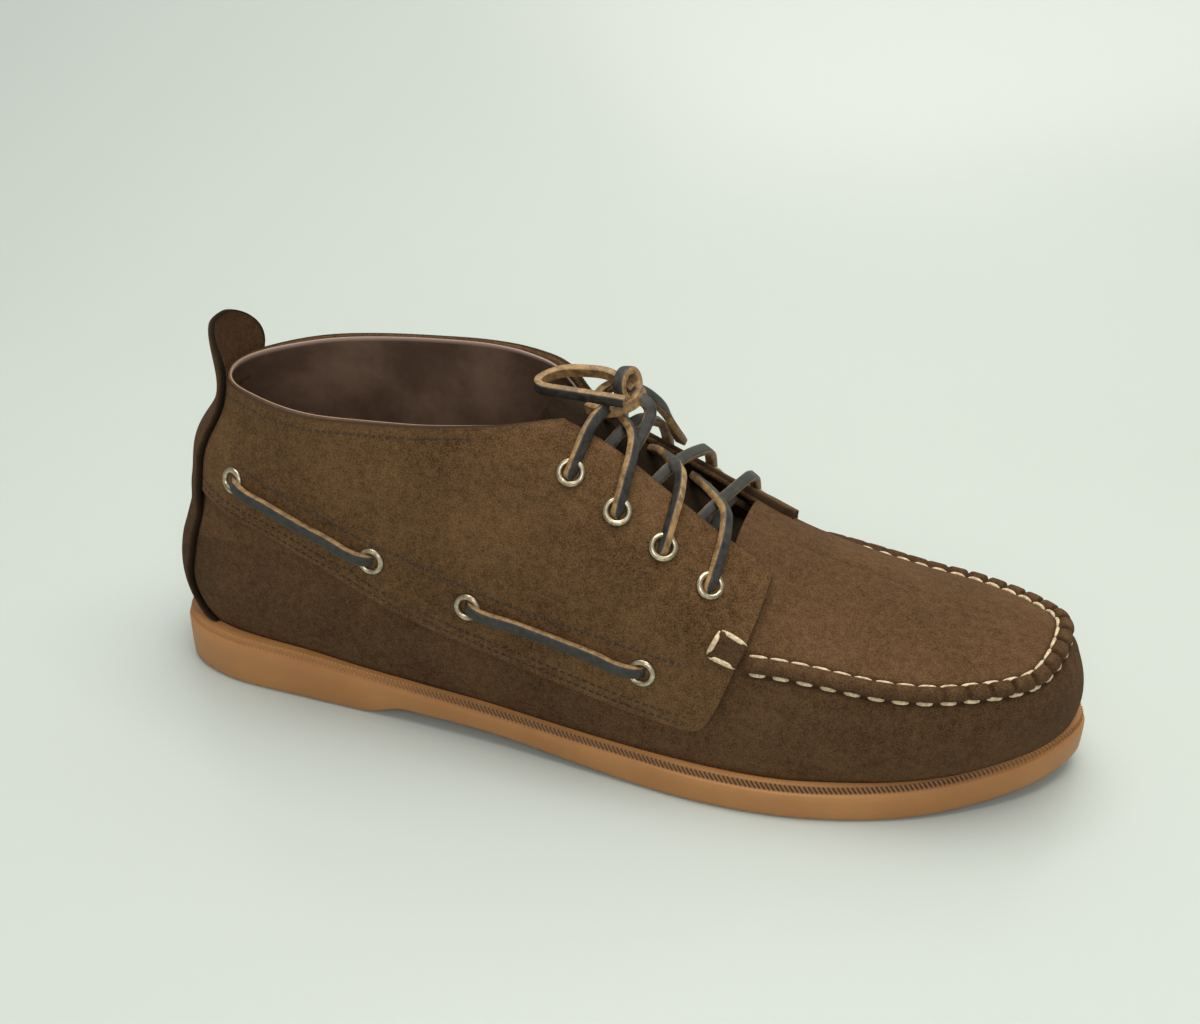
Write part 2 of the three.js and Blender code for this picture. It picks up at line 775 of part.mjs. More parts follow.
addPart("outsole", outsole(), rubber);
addPart("insole", insole(), leather);
addPart("upper", upper(), suede);
addPart("tongue", tongue(), suede);
addPart("back_strap", backStrap(), suede);
for (const place of eyeletPlaces) {
  addPart(place.name, eyelet(place), brass);
}
[3, 2, 1].forEach((row, i) => {
  const crossing = strand(row, row - 1, -1).add(strand(row, row - 1, 1));
  addPart(`lace_cross_${i + 1}`, crossing, thong);
});
addPart("lace_low_run", lowestRun(), thong);
for (const [sideName, side] of [["lateral", -1], ["medial", 1]]) {
  addPart(`lace_top_${sideName}`, topStrand(side), thong);
  addPart(`side_lace_${sideName}_rear`, sideRun(0, 1, side), thong);
  addPart(`side_lace_${sideName}_front`, sideRun(2, 3, side), thong);
}
addPart("lace_knot", knot(), thong);
addPart("lace_loop_back", free(BACK_LOOP), thong);
addPart("lace_loop_front", free(FRONT_LOOP), thong);
addPart("lace_end_medial", free(FAR_END), thong);

// The origin sits under the middle of the boot, on the floor. Loops and ends hang as they like.
const CORDS = ["lace_knot", "lace_loop_back", "lace_loop_front", "lace_end_medial"];
const firm = boot.children.filter((mesh) => !CORDS.includes(mesh.name));
const box = new THREE.Box3();
firm.forEach((mesh) => box.expandByObject(mesh));
const centre = box.getCenter(new THREE.Vector3());
boot.children.forEach((mesh) => mesh.geometry.translate(-centre.x, -centre.y, -box.min.z));

export default boot;
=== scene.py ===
# %% [markdown]
# A suede lace-up boot with a moccasin toe, right foot, standing empty on a pale floor.
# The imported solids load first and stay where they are. Every piece below is made in the same
# frame, in metres, so nothing has to be fitted by eye.

# %% Load the frame
import math
import bmesh
import bpy
import numpy as np
from mathutils import Matrix, Vector


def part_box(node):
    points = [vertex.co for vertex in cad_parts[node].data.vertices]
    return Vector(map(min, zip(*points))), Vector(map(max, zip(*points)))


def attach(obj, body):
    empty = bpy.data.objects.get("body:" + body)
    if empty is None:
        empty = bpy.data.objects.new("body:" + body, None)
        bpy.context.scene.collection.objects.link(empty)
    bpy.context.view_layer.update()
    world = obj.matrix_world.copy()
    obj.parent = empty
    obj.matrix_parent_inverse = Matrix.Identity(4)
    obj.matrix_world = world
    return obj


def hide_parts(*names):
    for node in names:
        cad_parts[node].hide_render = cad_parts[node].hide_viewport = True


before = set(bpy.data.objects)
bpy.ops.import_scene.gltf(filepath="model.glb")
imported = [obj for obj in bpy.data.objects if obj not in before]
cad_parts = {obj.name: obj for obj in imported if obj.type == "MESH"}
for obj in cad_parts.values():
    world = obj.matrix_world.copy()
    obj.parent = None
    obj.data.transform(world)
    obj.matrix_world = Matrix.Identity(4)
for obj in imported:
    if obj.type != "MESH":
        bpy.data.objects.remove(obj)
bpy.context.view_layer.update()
scene = bpy.context.scene

# %% [markdown]
# The camera looks at the outer side of the boot from a little above and in front of its middle.
# Its lens and place come from matching known edges of the boot with where the photograph shows
# them, so outlines and eyelets fall on the same spots of the picture.

# %% Camera
CAMERA_PLACE = Vector((0.12149, -0.43084, 0.3035))
AZIMUTH, ELEVATION, ROLL = (math.radians(a) for a in (16.185, 27.671, 0.456))
LENS = 47.6


def camera_turn(azimuth, elevation, roll):
    """Rotation of a camera that looks back along the given direction, rolled about it."""
    level = math.cos(elevation)
    back = Vector((math.sin(azimuth) * level, -math.cos(azimuth) * level, math.sin(elevation)))
    right = Vector((math.cos(azimuth), math.sin(azimuth), 0))
    up = back.cross(right)
    rolled_right = right * math.cos(roll) + up * math.sin(roll)
    rolled_up = up * math.cos(roll) - right * math.sin(roll)
    return Matrix((rolled_right, rolled_up, back)).transposed()


camera = bpy.data.objects.new("camera", bpy.data.cameras.new("camera"))
camera.data.lens = LENS
camera.data.sensor_width = 36
camera.data.clip_start = 0.01
turn = camera_turn(AZIMUTH, ELEVATION, ROLL).to_4x4()
camera.matrix_world = Matrix.Translation(CAMERA_PLACE) @ turn
scene.collection.objects.link(camera)
scene.camera = camera
print("camera at", tuple(round(v, 3) for v in camera.location))

# %% [markdown]
# The light is soft and comes mostly from above, as from a bank of ceiling lamps, with a weak fill
# from the camera's side. The floor sweeps up behind the boot so that no horizon shows.

# %% Light and floor
scene.view_settings.view_transform = "Standard"
world = bpy.data.worlds.new("room")
world.use_nodes = True
world.node_tree.nodes["Background"].inputs["Color"].default_value = (0.86, 0.9, 0.92, 1)
world.node_tree.nodes["Background"].inputs["Strength"].default_value = 0.42
scene.world = world


def soft_box(name, place, size, watts, tint):
    """A large rectangular lamp that looks at the boot."""
    lamp = bpy.data.lights.new(name, "AREA")
    lamp.shape = "RECTANGLE"
    lamp.size, lamp.size_y = size
    lamp.energy = watts
    lamp.color = tint
    holder = bpy.data.objects.new(name, lamp)
    holder.location = place
    aim = Vector((0, 0, 0.05)) - Vector(place)
    holder.rotation_euler = aim.to_track_quat("-Z", "Y").to_euler()
    scene.collection.objects.link(holder)


soft_box("overhead", (0.05, 0.1, 1.3), (1.2, 0.9), 17, (1, 0.97, 0.93))
soft_box("fill", (0.3, -1.2, 0.75), (1.0, 0.7), 6, (1, 0.98, 0.96))


def paint(name):
    """A new material and its Principled shader."""
    material = bpy.data.materials.new(name)
    material.use_nodes = True
    return material, material.node_tree, material.node_tree.nodes["Principled BSDF"]


pale, _, pale_shader = paint("pale_floor")
pale_shader.inputs["Base Color"].default_value = (0.545, 0.585, 0.54, 1)
pale_shader.inputs["Roughness"].default_value = 0.28
pale_shader.inputs["Specular IOR Level"].default_value = 0.35

SWEEP_START, SWEEP_RADIUS = 0.24, 0.4
sweep = [(-0.9, 0)]
for angle in np.linspace(0, np.pi / 2, 17):
    back, rise = math.sin(angle), 1 - math.cos(angle)
    sweep.append((SWEEP_START + SWEEP_RADIUS * back, SWEEP_RADIUS * rise))
sweep.append((SWEEP_START + SWEEP_RADIUS, 1.2))
floor_mesh = bpy.data.meshes.new("floor")
floor_points = [(x, y, z) for y, z in sweep for x in (-1.6, 1.6)]
floor_faces = [(2 * i, 2 * i + 1, 2 * i + 3, 2 * i + 2) for i in range(len(sweep) - 1)]
floor_mesh.from_pydata(floor_points, [], floor_faces)
floor_mesh.materials.append(pale)
floor_mesh.shade_smooth()
floor = bpy.data.objects.new("floor", floor_mesh)
scene.collection.objects.link(floor)

# %% [markdown]
# A boot is built round a last, the wooden foot that gives it its shape. The same last is written
# down here as four closed rails: the outline of the sole, the feather line where upper meets sole,
# the bend, which becomes the moccasin seam, and the crest. A point of the last has a position w
# round the boot and a level v: 0 at the feather, 1 at the bend, 2 at the crest. Every soft piece is
# laid on this surface, which is why they all fit. Tables are in percent of the boot's sizes, the
# helper functions work in millimetres.

# %% Tables of the last
MM = 0.001
LENGTH = 304.0
GAP = 0.3
WALL = 1.8
QUARTER_STEP = 1.5

SOLE = [
    (0, -1, 1), (1.6, 20.5, 20.5), (7.9, 32, 31.5), (17.8, 35.6, 33.5), (29, 38.2, 30.5),
    (40.9, 42, 29), (52.4, 47.4, 35), (63.9, 52.2, 44), (73.8, 51, 49), (83.7, 42.4, 46),
    (91.6, 29, 37.5), (97.2, 14, 22.5), (100, -4, 4),
]
SOLE_TOP = [
    (0, 18.3), (18, 17.4), (29, 15.2), (41, 13.5), (52, 12.5), (64, 12), (74, 12.1), (84, 13.2),
    (92, 15.5), (100, 19.2),
]
FEATHER = [
    (1.5, -1, 1), (3.6, 18, 18.5), (8.9, 28, 28), (19.4, 32.5, 31), (30.3, 35.5, 27.5),
    (40.9, 39, 26.5), (50.7, 43.5, 32), (61.3, 48, 41), (71.2, 48.5, 46), (82.7, 41.5, 43.5),
    (89.6, 32, 37), (96.2, 15.5, 22.5), (99, -4, 4),
]
BEND = [
    (0.2, 44, -1, 1), (2.7, 46, 18.5, 19), (8.2, 50, 29, 29.5), (19.4, 53, 36, 34),
    (30.3, 52, 38.5, 34), (41.5, 50, 41, 36), (50.7, 48.5, 43.5, 39), (60.6, 47.5, 45, 42),
    (70.5, 47, 42.5, 41), (81, 44.5, 41, 37), (88, 45, 36, 31.5), (94.4, 46.5, 24, 18.5),
    (96.7, 48.5, -2.5, 2.5),
]
CREST = [
    (7.8, 122, 0, 0), (9.2, 122, 10.5, 11.5), (13, 122, 18.5, 20), (20.4, 122, 29.5, 30),
    (30.3, 122, 27.5, 29), (38.9, 122, 19, 20), (46.8, 111, 0, 0), (56.7, 89, 0, 0),
    (67.2, 68.5, 0, 0), (78.7, 58.5, 0, 0), (84.3, 54.6, 0, 0), (88, 52.4, 0, 0), (89.3, 52, 0, 0),
]
FULLNESS = [
    (2.6, -0.15, -0.15, -0.15), (2.4, -0.1, -0.1, -0.1), (2.2, 0.1, 0.1, 0.1), (1.6, 0.3, 0.3, 0.3),
    (1.4, 0.35, 0.35, 0.35), (1.4, 0.5, 0.5, 0.4), (0.8, 0.85, 0.95, 0), (1, 0.75, 1, 0.35),
    (3, 0.15, 0.85, 0.95), (3.8, 0.1, 0.8, 0.8), (3.6, 0.1, 0.8, 0.8), (3.4, 0.1, 0.8, 0.8),
    (3.4, 0.1, 0.8, 0.8),
]
QUARTER_EDGE = [
    (-5, 67), (5.7, 65), (10.2, 61.5), (15.3, 59), (22.6, 52), (29.3, 43.5), (36.1, 37.6),
    (44.2, 32.5), (52.9, 27.3), (59.5, 24.3), (62.3, 24), (63.8, 26.5), (65, 34), (66.2, 45),
    (67.4, 57), (67.8, 66), (69, 110),
]
COLLAR_LATERAL = [
    (-10, 103.5), (8, 103.5), (20, 103.5), (26, 104), (32, 104.5), (36, 105.5), (40, 106.5),
    (44.5, 107.3), (48, 107), (52, 106),
]
COLLAR_MEDIAL = [
    (-10, 104), (8, 104.5), (14, 106), (20, 106.5), (26, 107.8), (32, 109.3), (36, 109.5),
    (40, 108.6), (44.5, 107.8), (48, 107), (52, 106),
]
LACING = {
    -1: [(48, 94.5), (53, 85.4), (57.7, 76.3), (62.5, 66.1)],
    1: [(47.6, 83), (53, 74.7), (57.7, 69.8), (62.5, 63.6)],
}
SIDE_LACE = [(10.9, 75.2), (27.6, 59.8), (38.4, 50.5), (57.2, 40.9)]
THROAT_LATERAL, THROAT_MEDIAL = -18.5, 16.5
SIDES = ("lateral", -1), ("medial", 1)
SHIFT = np.array([
    500 * sum(corner[0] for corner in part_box("outsole")),
    500 * sum(corner[1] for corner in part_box("back_strap")),
    0,
])
print("last sits", SHIFT.round(2), "mm off its own middle")


# %% The last as a surface
def along_to_x(along):
    return (np.asarray(along, float) / 100 - 0.5) * LENGTH


def x_to_along(x):
    return (np.asarray(x, float) / LENGTH + 0.5) * 100


def ramp(value, low, high):
    """0 below low, 1 above high, smooth between."""
    t = np.clip((np.asarray(value, float) - low) / (high - low), 0, 1)
    return t * t * (3 - 2 * t)


def hump(value, middle, width):
    """1 at the middle, fading smoothly to 0 on both sides."""
    return np.exp(-(((value - middle) / width) ** 2))


def profile(table, along):
    """Height read from a smooth curve through a table of places and heights."""
    table = np.array(table, float)
    places, heights = table[:, 0], table[:, 1]
    at = np.clip(along, places[0], places[-1])
    i = np.clip(np.searchsorted(places, at) - 1, 0, len(places) - 2)
    k = np.arange(len(places))
    before, after = np.maximum(k - 1, 0), np.minimum(k + 1, len(places) - 1)
    slope = (heights[after] - heights[before]) / (places[after] - places[before])
    span = places[i + 1] - places[i]
    t = (at - places[i]) / span
    start = (1 + 2 * t) * (1 - t) ** 2 * heights[i] + t * (1 - t) ** 2 * span * slope[i]
    end = t * t * (3 - 2 * t) * heights[i + 1] + t * t * (t - 1) * span * slope[i + 1]
    return start + end


def sole_top(x):
    return profile(SOLE_TOP, x_to_along(x))


def sole_bottom(x):
    along = x_to_along(x)
    arch = ramp(along, 25, 30) * (1 - ramp(along, 36, 60))
    return 4 * arch + 6.5 * np.clip((along - 80) / 20, 0, 1) ** 1.8


def closed_curve(points):
    """Smooth closed curve through points, read at w from 0 to 1."""
    count = len(points)

    def at(w):
        t = (np.asarray(w, float) % 1.0) * count
        i = np.floor(t).astype(int)
        f = (t - i)[..., None]
        a, b, c, d = (points[(i + k) % count] for k in (-1, 0, 1, 2))
        bent = (2 * a - 5 * b + 4 * c - d) * f + (3 * b - a - 3 * c + d) * f * f
        return b + 0.5 * f * (c - a + bent)

    return at


def round_the_boot(table, to_point):
    lateral = [to_point(row, -1) for row in table]
    medial = [to_point(row, 1) for row in table[-2:0:-1]]
    return closed_curve(np.array(lateral + medial, float))


def rail(table, height=None):
    def to_point(row, side):
        x = along_to_x(row[0])
        y = -row[-2] if side < 0 else row[-1]
        return (x, y, height(x) if height else row[1])

    return round_the_boot(table, to_point)


outline = rail(SOLE, sole_top)
feather = rail(FEATHER, sole_top)
bend = rail(BEND)
crest = rail(CREST)
fullness = round_the_boot(FULLNESS, lambda row, side: (row[0], row[1], row[2 if side < 0 else 3]))


def outward(curve, w):
    ahead = curve(w + 0.001) - curve(w - 0.001)
    out = np.stack([ahead[..., 1], -ahead[..., 0], 0 * ahead[..., 0]], -1)
    return out / np.linalg.norm(out, axis=-1, keepdims=True)


def last_point(w, v):
    w, v = np.broadcast_arrays(np.asarray(w, float) % 1.0, np.asarray(v, float))
    middle = bend(w)
    swell, rounding, crown = np.moveaxis(fullness(w), -1, 0)
    low = feather(w)
    low[..., 2] = sole_top(low[..., 0]) + GAP
    bulge = (4 * swell * v * (1 - v))[..., None] * outward(feather, w)
    below = low + (middle - low) * v[..., None] + bulge
    high = crest(w)
    high[..., 1] = np.where(w < 0.5, np.minimum(high[..., 1], 0), np.maximum(high[..., 1], 0))
    turn = (v - 1) * np.pi / 2
    across = (v - 1) + (1 - np.cos(turn) - (v - 1)) * rounding
    upward = (v - 1) + (np.sin(turn) - (v - 1)) * crown
    share = np.stack([across, across, upward], -1)
    return np.where((v <= 1)[..., None], below, middle + (high - middle) * share)


def unit(vectors):
    return vectors / np.maximum(np.linalg.norm(vectors, axis=-1, keepdims=True), 1e-9)


def last_normal(w, v):
    w, v = np.broadcast_arrays(np.asarray(w, float), np.asarray(v, float))
    at = np.minimum(v, 1.96)
    ahead = last_point(w + 0.002, at) - last_point(w - 0.002, at)
    rise = last_point(w, at + 0.04) - last_point(w, np.maximum(at - 0.04, 0))
    return unit(np.cross(ahead, rise))


def on_last(w, v, depth):
    """Points of the last set off outwards by depth millimetres."""
    normal = last_normal(w, v)
    return last_point(w, v) + normal * np.asarray(depth, float)[..., None]


def crossing(test, w, low, high):
    """Level at which a test, negative below and positive above, changes sign on each rib."""
    a, b = np.full(np.shape(w), float(low)), np.full(np.shape(w), float(high))
    for _ in range(40):
        middle = (a + b) / 2
        above = test(last_point(w, middle)) > 0
        a, b = np.where(above, a, middle), np.where(above, middle, b)
    return (a + b) / 2


SEARCH_W, SEARCH_V = np.linspace(0, 0.5, 601)[:, None], np.linspace(0, 2, 241)[None, :]
SEARCH = {-1: last_point(SEARCH_W, SEARCH_V), 1: last_point(1 - SEARCH_W, SEARCH_V)}


def find(axes, target, side, lowest=0.0):
    """Position and level where the last passes a place given by two of its coordinates."""
    axes, target = list(axes), np.asarray(target, float)
    miss = ((SEARCH[side][..., axes] - target) ** 2).sum(-1)
    miss = np.where(SEARCH_V < lowest, np.inf, miss)
    i, j = np.unravel_index(np.argmin(miss), miss.shape)
    w, v = SEARCH_W[i, 0], SEARCH_V[0, j]
    w = w if side < 0 else 1 - w
    for _ in range(4):
        here = last_point(w, v)[axes]
        by_w = (last_point(w + 1e-4, v)[axes] - here) / 1e-4
        by_v = (last_point(w, v + 1e-3)[axes] - here) / 1e-3
        both = np.stack([by_w, by_v], 1)
        if abs(np.linalg.det(both)) < 1e-6:
            break
        step = np.linalg.solve(both, target - here)
        w, v = w + np.clip(step[0], -0.01, 0.01), float(np.clip(v + step[1], lowest, 2))
    return w, v


def on_side(along, up, side, lift):
    w, v = find((0, 2), (along_to_x(along), up), side)
    return on_last(w, v, lift), last_normal(w, v)


def on_crown(x, y, lift):
    w, v = find((0, 1), (x, y), -1 if y < 0 else 1, 1.0)
    return on_last(w, v, lift), last_normal(w, v)


print("widest bend", round(float(np.ptp(bend(np.linspace(0, 1, 500))[:, 1])), 1), "mm")


# %% [markdown]
# Most pieces are grids of points: rows and columns laid on the last and joined into quads. These
# helpers turn such grids into closed meshes, so every sheet of leather has two faces and edges.

# %% Mesh helpers
def grid_quads(row_count, column_count, joined=False, start=0):
    r = np.arange(row_count - 1)[:, None]
    c = np.arange(column_count if joined else column_count - 1)[None, :]
    a = r * column_count + c
    b = r * column_count + (c + 1) % column_count
    return (start + np.stack([a, b, b + column_count, a + column_count], -1)).reshape(-1, 4)


def piece(name, points, quads, material, smooth_angle=None):
    """A mesh object from points in millimetres on the last's own frame."""
    mesh = bpy.data.meshes.new(name)
    mesh.from_pydata(((points + SHIFT) * MM).tolist(), [], [list(q) for q in quads])
    mesh.materials.append(material)
    mesh.shade_smooth()
    if smooth_angle:
        mesh.set_sharp_from_angle(angle=math.radians(smooth_angle))
    made = bpy.data.objects.new(name, mesh)
    scene.collection.objects.link(made)
    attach(made, "root")
    return made


def mark(made, name, values):
    """A named value for every point of a piece, for its material to read."""
    kept = made.data.attributes.new(name, "FLOAT", "POINT")
    kept.data.foreach_set("value", np.asarray(values, float).ravel())


def slab(outer, inner, joined=False):
    """Points and quads of a closed sheet between an outer and an inner grid."""
    row_count, column_count = outer.shape[:2]
    size = row_count * column_count
    points = np.concatenate([outer.reshape(-1, 3), inner.reshape(-1, 3)])
    face = grid_quads(row_count, column_count, joined)
    quads = [face, size + face[:, ::-1]]
    ids = np.arange(size).reshape(row_count, column_count)
    rims = [ids[0], ids[-1][::-1]]
    if joined:
        rims = [np.append(rim, rim[0]) for rim in rims]
    else:
        rims += [ids[:, -1], ids[::-1, 0]]
    for rim in rims:
        a, b = rim[1:], rim[:-1]
        quads.append(np.stack([a, b, size + b, size + a], -1))
    return points, np.concatenate(quads)


def face_out(quads, side):
    """Turns the faces of a medial piece, whose columns run the other way."""
    return quads if side < 0 else quads[:, ::-1]


def open_curve(points, count):
    """Evenly spaced points of a smooth curve through the given ones."""
    points = np.asarray(points, float)
    padded = np.concatenate([[2 * points[0] - points[1]], points, [2 * points[-1] - points[-2]]])
    t = np.linspace(0, len(points) - 1 - 1e-9, 24 * len(points))
    i = np.floor(t).astype(int)
    f = (t - i)[:, None]
    a, b, c, d = (padded[i + k] for k in range(4))
    bent = (2 * a - 5 * b + 4 * c - d) * f + (3 * b - a - 3 * c + d) * f * f
    fine = b + 0.5 * f * (c - a + bent)
    run = np.append(0, np.cumsum(np.linalg.norm(np.diff(fine[:, :3], axis=0), axis=1)))
    even = np.linspace(0, run[-1], count)
    return np.stack([np.interp(even, run, column) for column in fine.T], 1)


print("mesh helpers ready")

# %% [markdown]
# Suede is the flesh side of leather: short fibres stand up and lie in patches, so its colour is
# mottled at three scales, fine fibre, nap and brushed patches, and it shines a little at grazing
# angles. One node group makes that mottling, and each suede piece gives it its own colours.

# %% Suede nap group
def new_group(name, inputs, outputs):
    group = bpy.data.node_groups.new(name, "ShaderNodeTree")
    for label, kind, value in inputs:
        socket = group.interface.new_socket(label, in_out="INPUT", socket_type=kind)
        socket.default_value = value
    for label, kind in outputs:
        group.interface.new_socket(label, in_out="OUTPUT", socket_type=kind)
    return group, group.nodes.new("NodeGroupInput"), group.nodes.new("NodeGroupOutput")


def noise(tree, scale, detail=3.0, roughness=0.6, vector=None):
    node = tree.nodes.new("ShaderNodeTexNoise")
    node.inputs["Scale"].default_value = scale
    node.inputs["Detail"].default_value = detail
    node.inputs["Roughness"].default_value = roughness
    if vector is not None:
        tree.links.new(vector, node.inputs["Vector"])
    return node.outputs["Fac"]


def math_node(tree, operation, first, second, clamp=False):
    node = tree.nodes.new("ShaderNodeMath")
    node.operation = operation
    node.use_clamp = clamp
    for socket, value in zip(node.inputs, (first, second)):
        if isinstance(value, (int, float)):
            socket.default_value = value
        else:
            tree.links.new(value, socket)
    return node.outputs[0]


def spread(tree, value, low, high, to_low=0.0, to_high=1.0):
    node = tree.nodes.new("ShaderNodeMapRange")
    node.interpolation_type = "SMOOTHSTEP"
    for label, number in zip(
        ("From Min", "From Max", "To Min", "To Max"), (low, high, to_low, to_high)
    ):
        node.inputs[label].default_value = number
    tree.links.new(value, node.inputs["Value"])
    return node.outputs["Result"]


def mix(tree, share, first, second):
    node = tree.nodes.new("ShaderNodeMix")
    node.data_type = "RGBA"
    sockets = node.inputs[0], node.inputs[6], node.inputs[7]
    for socket, value in zip(sockets, (share, first, second)):
        if isinstance(value, (int, float, tuple)):
            socket.default_value = value
        else:
            tree.links.new(value, socket)
    return node.outputs[2]


def mottle(tree, value, low, high, first, second):
    """Two colours shared out by a value between low and high."""
    return mix(tree, spread(tree, value, low, high), (*first, 1), (*second, 1))


def own_space(tree):
    """Coordinates in the piece's own space, so a pattern stays with the piece."""
    return tree.nodes.new("ShaderNodeTexCoord").outputs["Object"]


def named_value(tree, name):
    """A value that was marked on the points of the mesh."""
    node = tree.nodes.new("ShaderNodeAttribute")
    node.attribute_name = name
    return node.outputs["Fac"]


COLOUR, NUMBER = "NodeSocketColor", "NodeSocketFloat"
nap_group, nap_in, nap_out = new_group(
    "suede_nap",
    [("Dark", COLOUR, (0, 0, 0, 1)), ("Light", COLOUR, (1, 1, 1, 1)), ("Patches", NUMBER, 0.3)],
    [("Colour", COLOUR), ("Height", NUMBER)],
)
where = own_space(nap_group)
grain = noise(nap_group, 2300, 3, 0.75, where)
nap = noise(nap_group, 400, 4, 0.7, where)
patch = noise(nap_group, 24, 4, 0.6, where)
grain_part = math_node(nap_group, "MULTIPLY", spread(nap_group, grain, 0.34, 0.66), 0.6)
nap_part = math_node(nap_group, "MULTIPLY", spread(nap_group, nap, 0.3, 0.7), 0.26)
patch_shift = math_node(nap_group, "SUBTRACT", spread(nap_group, patch, 0.25, 0.75), 0.3)
patch_part = math_node(nap_group, "MULTIPLY", patch_shift, nap_in.outputs["Patches"])
both_parts = math_node(nap_group, "ADD", grain_part, nap_part)
shade = math_node(nap_group, "ADD", both_parts, patch_part, clamp=True)
nap_colour = mix(nap_group, shade, nap_in.outputs["Dark"], nap_in.outputs["Light"])
nap_height = math_node(nap_group, "ADD", grain, math_node(nap_group, "MULTIPLY", nap, 0.9))
nap_group.links.new(nap_colour, nap_out.inputs["Colour"])
nap_group.links.new(nap_height, nap_out.inputs["Height"])


def use_group(tree, group, **values):
    node = tree.nodes.new("ShaderNodeGroup")
    node.node_tree = group
    for label, value in values.items():
        node.inputs[label].default_value = value
    return node


def add_bump(tree, shader, height, strength, depth):
    bump = tree.nodes.new("ShaderNodeBump")
    bump.inputs["Strength"].default_value = strength
    bump.inputs["Distance"].default_value = depth
    tree.links.new(height, bump.inputs["Height"])
    tree.links.new(bump.outputs["Normal"], shader.inputs["Normal"])


def suede(name, dark, light, patches=0.3, edge=(0.03, 0.015, 0.007), sheen=0.18):
    """Suede in its own two colours, with the dark colour that the edge value mixes in: the cut edge
    on most pieces, a painted shade in the wall's seam.
    """
    material, tree, shader = paint(name)
    nap_node = use_group(tree, nap_group, Dark=(*dark, 1), Light=(*light, 1), Patches=patches)
    colour = mix(tree, named_value(tree, "edge"), nap_node.outputs["Colour"], (*edge, 1))
    tree.links.new(colour, shader.inputs["Base Color"])
    shader.inputs["Roughness"].default_value = 0.95
    shader.inputs["Specular IOR Level"].default_value = 0.12
    shader.inputs["Sheen Weight"].default_value = sheen
    shader.inputs["Sheen Roughness"].default_value = 0.4
    shader.inputs["Sheen Tint"].default_value = (*light, 1)
    add_bump(tree, shader, nap_node.outputs["Height"], 0.6, 0.0005)
    return material


quarter_suede = suede(
    "quarter_suede", (0.028, 0.0125, 0.0042), (0.205, 0.112, 0.048), 0.34, (0.04, 0.023, 0.012)
)
# The wall's suede is darker than the quarter's: partly its own tone, partly a painted shade for the
# low walls.
wall_suede_with_painted_shade = suede("wall_suede_with_painted_shade", (0.022, 0.0095, 0.0035), (0.152, 0.083, 0.038), 0.3)
toe_suede = suede("toe_suede", (0.04, 0.018, 0.0065), (0.18, 0.098, 0.045), 0.25)
# The strap's suede is darker still: partly its own tone, partly a painted shade for the strap's
# side. The seam patches use it too.
strap_suede = suede(
    "strap_suede", (0.024, 0.0115, 0.005), (0.13, 0.07, 0.032), 0.3, (0.007, 0.004, 0.0025)
)
# The tongue's suede is made near black: a painted shade for the deep shadow of the throat it lies
# in.
tongue_suede = suede("tongue_suede", (0.01, 0.005, 0.0025), (0.04, 0.023, 0.012), 0.3)
print("suede made in", sum("suede" in m.name for m in bpy.data.materials), "colours")

# %% [markdown]
# The lace is a leather thong cut from a hide: dark, smooth and slightly waxy on its face, tan and
# rough where the knife cut it and on its flesh side. Those are marked on the mesh with a named
# value, cut, so one material can tell the sides of the thong apart.

# %% Lace leather
thong, thong_tree, thong_shader = paint("lace_leather")
lace_where = own_space(thong_tree)
lace_streak = noise(thong_tree, 420, 4, 0.7, lace_where)
worn = noise(thong_tree, 130, 3, 0.6, lace_where)
dark_face, worn_face = (0.011, 0.0105, 0.009), (0.05, 0.046, 0.038)
face_colour = mottle(thong_tree, lace_streak, 0.3, 0.75, dark_face, worn_face)
cut_colour = mottle(thong_tree, lace_streak, 0.3, 0.7, (0.14, 0.078, 0.03), (0.43, 0.255, 0.1))
wear = spread(thong_tree, worn, 0.3, 0.5, 0.6, 1.0)
worn_cut = math_node(thong_tree, "MULTIPLY", named_value(thong_tree, "cut"), wear)
lace_colour = mix(thong_tree, worn_cut, face_colour, cut_colour)
lace_roughness = spread(thong_tree, lace_streak, 0.2, 0.8, 0.45, 0.75)
thong_tree.links.new(lace_colour, thong_shader.inputs["Base Color"])
thong_tree.links.new(lace_roughness, thong_shader.inputs["Roughness"])
add_bump(thong_tree, thong_shader, lace_streak, 0.4, 0.0003)
print("lace leather made")

# %% [markdown]
# Two lengths of thong criss-cross the throat. Each comes up through an eyelet, climbs over the edge
# of its own quarter, crosses the tongue towards the ankle, dives under the far edge and comes up
# through the next eyelet there. Sweeping a rounded strip along a list of stops gives the whole run
# in one piece, and each stop says which way the flat side looks.

# %% Lace sweep
LACE_WIDTH, LACE_THICKNESS = 3.6, 2.4
STRIP = np.array([
    (-0.5, -0.38), (-0.44, -0.5), (0, -0.5), (0.44, -0.5), (0.5, -0.38), (0.5, 0.34), (0.43, 0.47),
    (0.2, 0.5), (-0.2, 0.5), (-0.43, 0.47), (-0.5, 0.34),
])


def strip_rings(stops, step=0.45):
    """Rings of a flat strip along stops, each a point and the way the flat side looks."""
    raw = np.array([np.concatenate([point, way]) for point, way in stops])
    rough = open_curve(raw, 60)
    length = np.linalg.norm(np.diff(rough[:, :3], axis=0), axis=1).sum()
    path = open_curve(raw, max(12, int(length / step)))
    points, ways = path[:, :3], path[:, 3:]
    ahead = unit(np.gradient(points, axis=0))
    across = unit(np.cross(ahead, ways))
    up = np.cross(across, ahead)
    rings = (
        points[:, None]
        + across[:, None] * (STRIP[None, :, :1] * LACE_WIDTH)
        + up[:, None] * (STRIP[None, :, 1:] * LACE_THICKNESS)
    )
    return rings, points, length


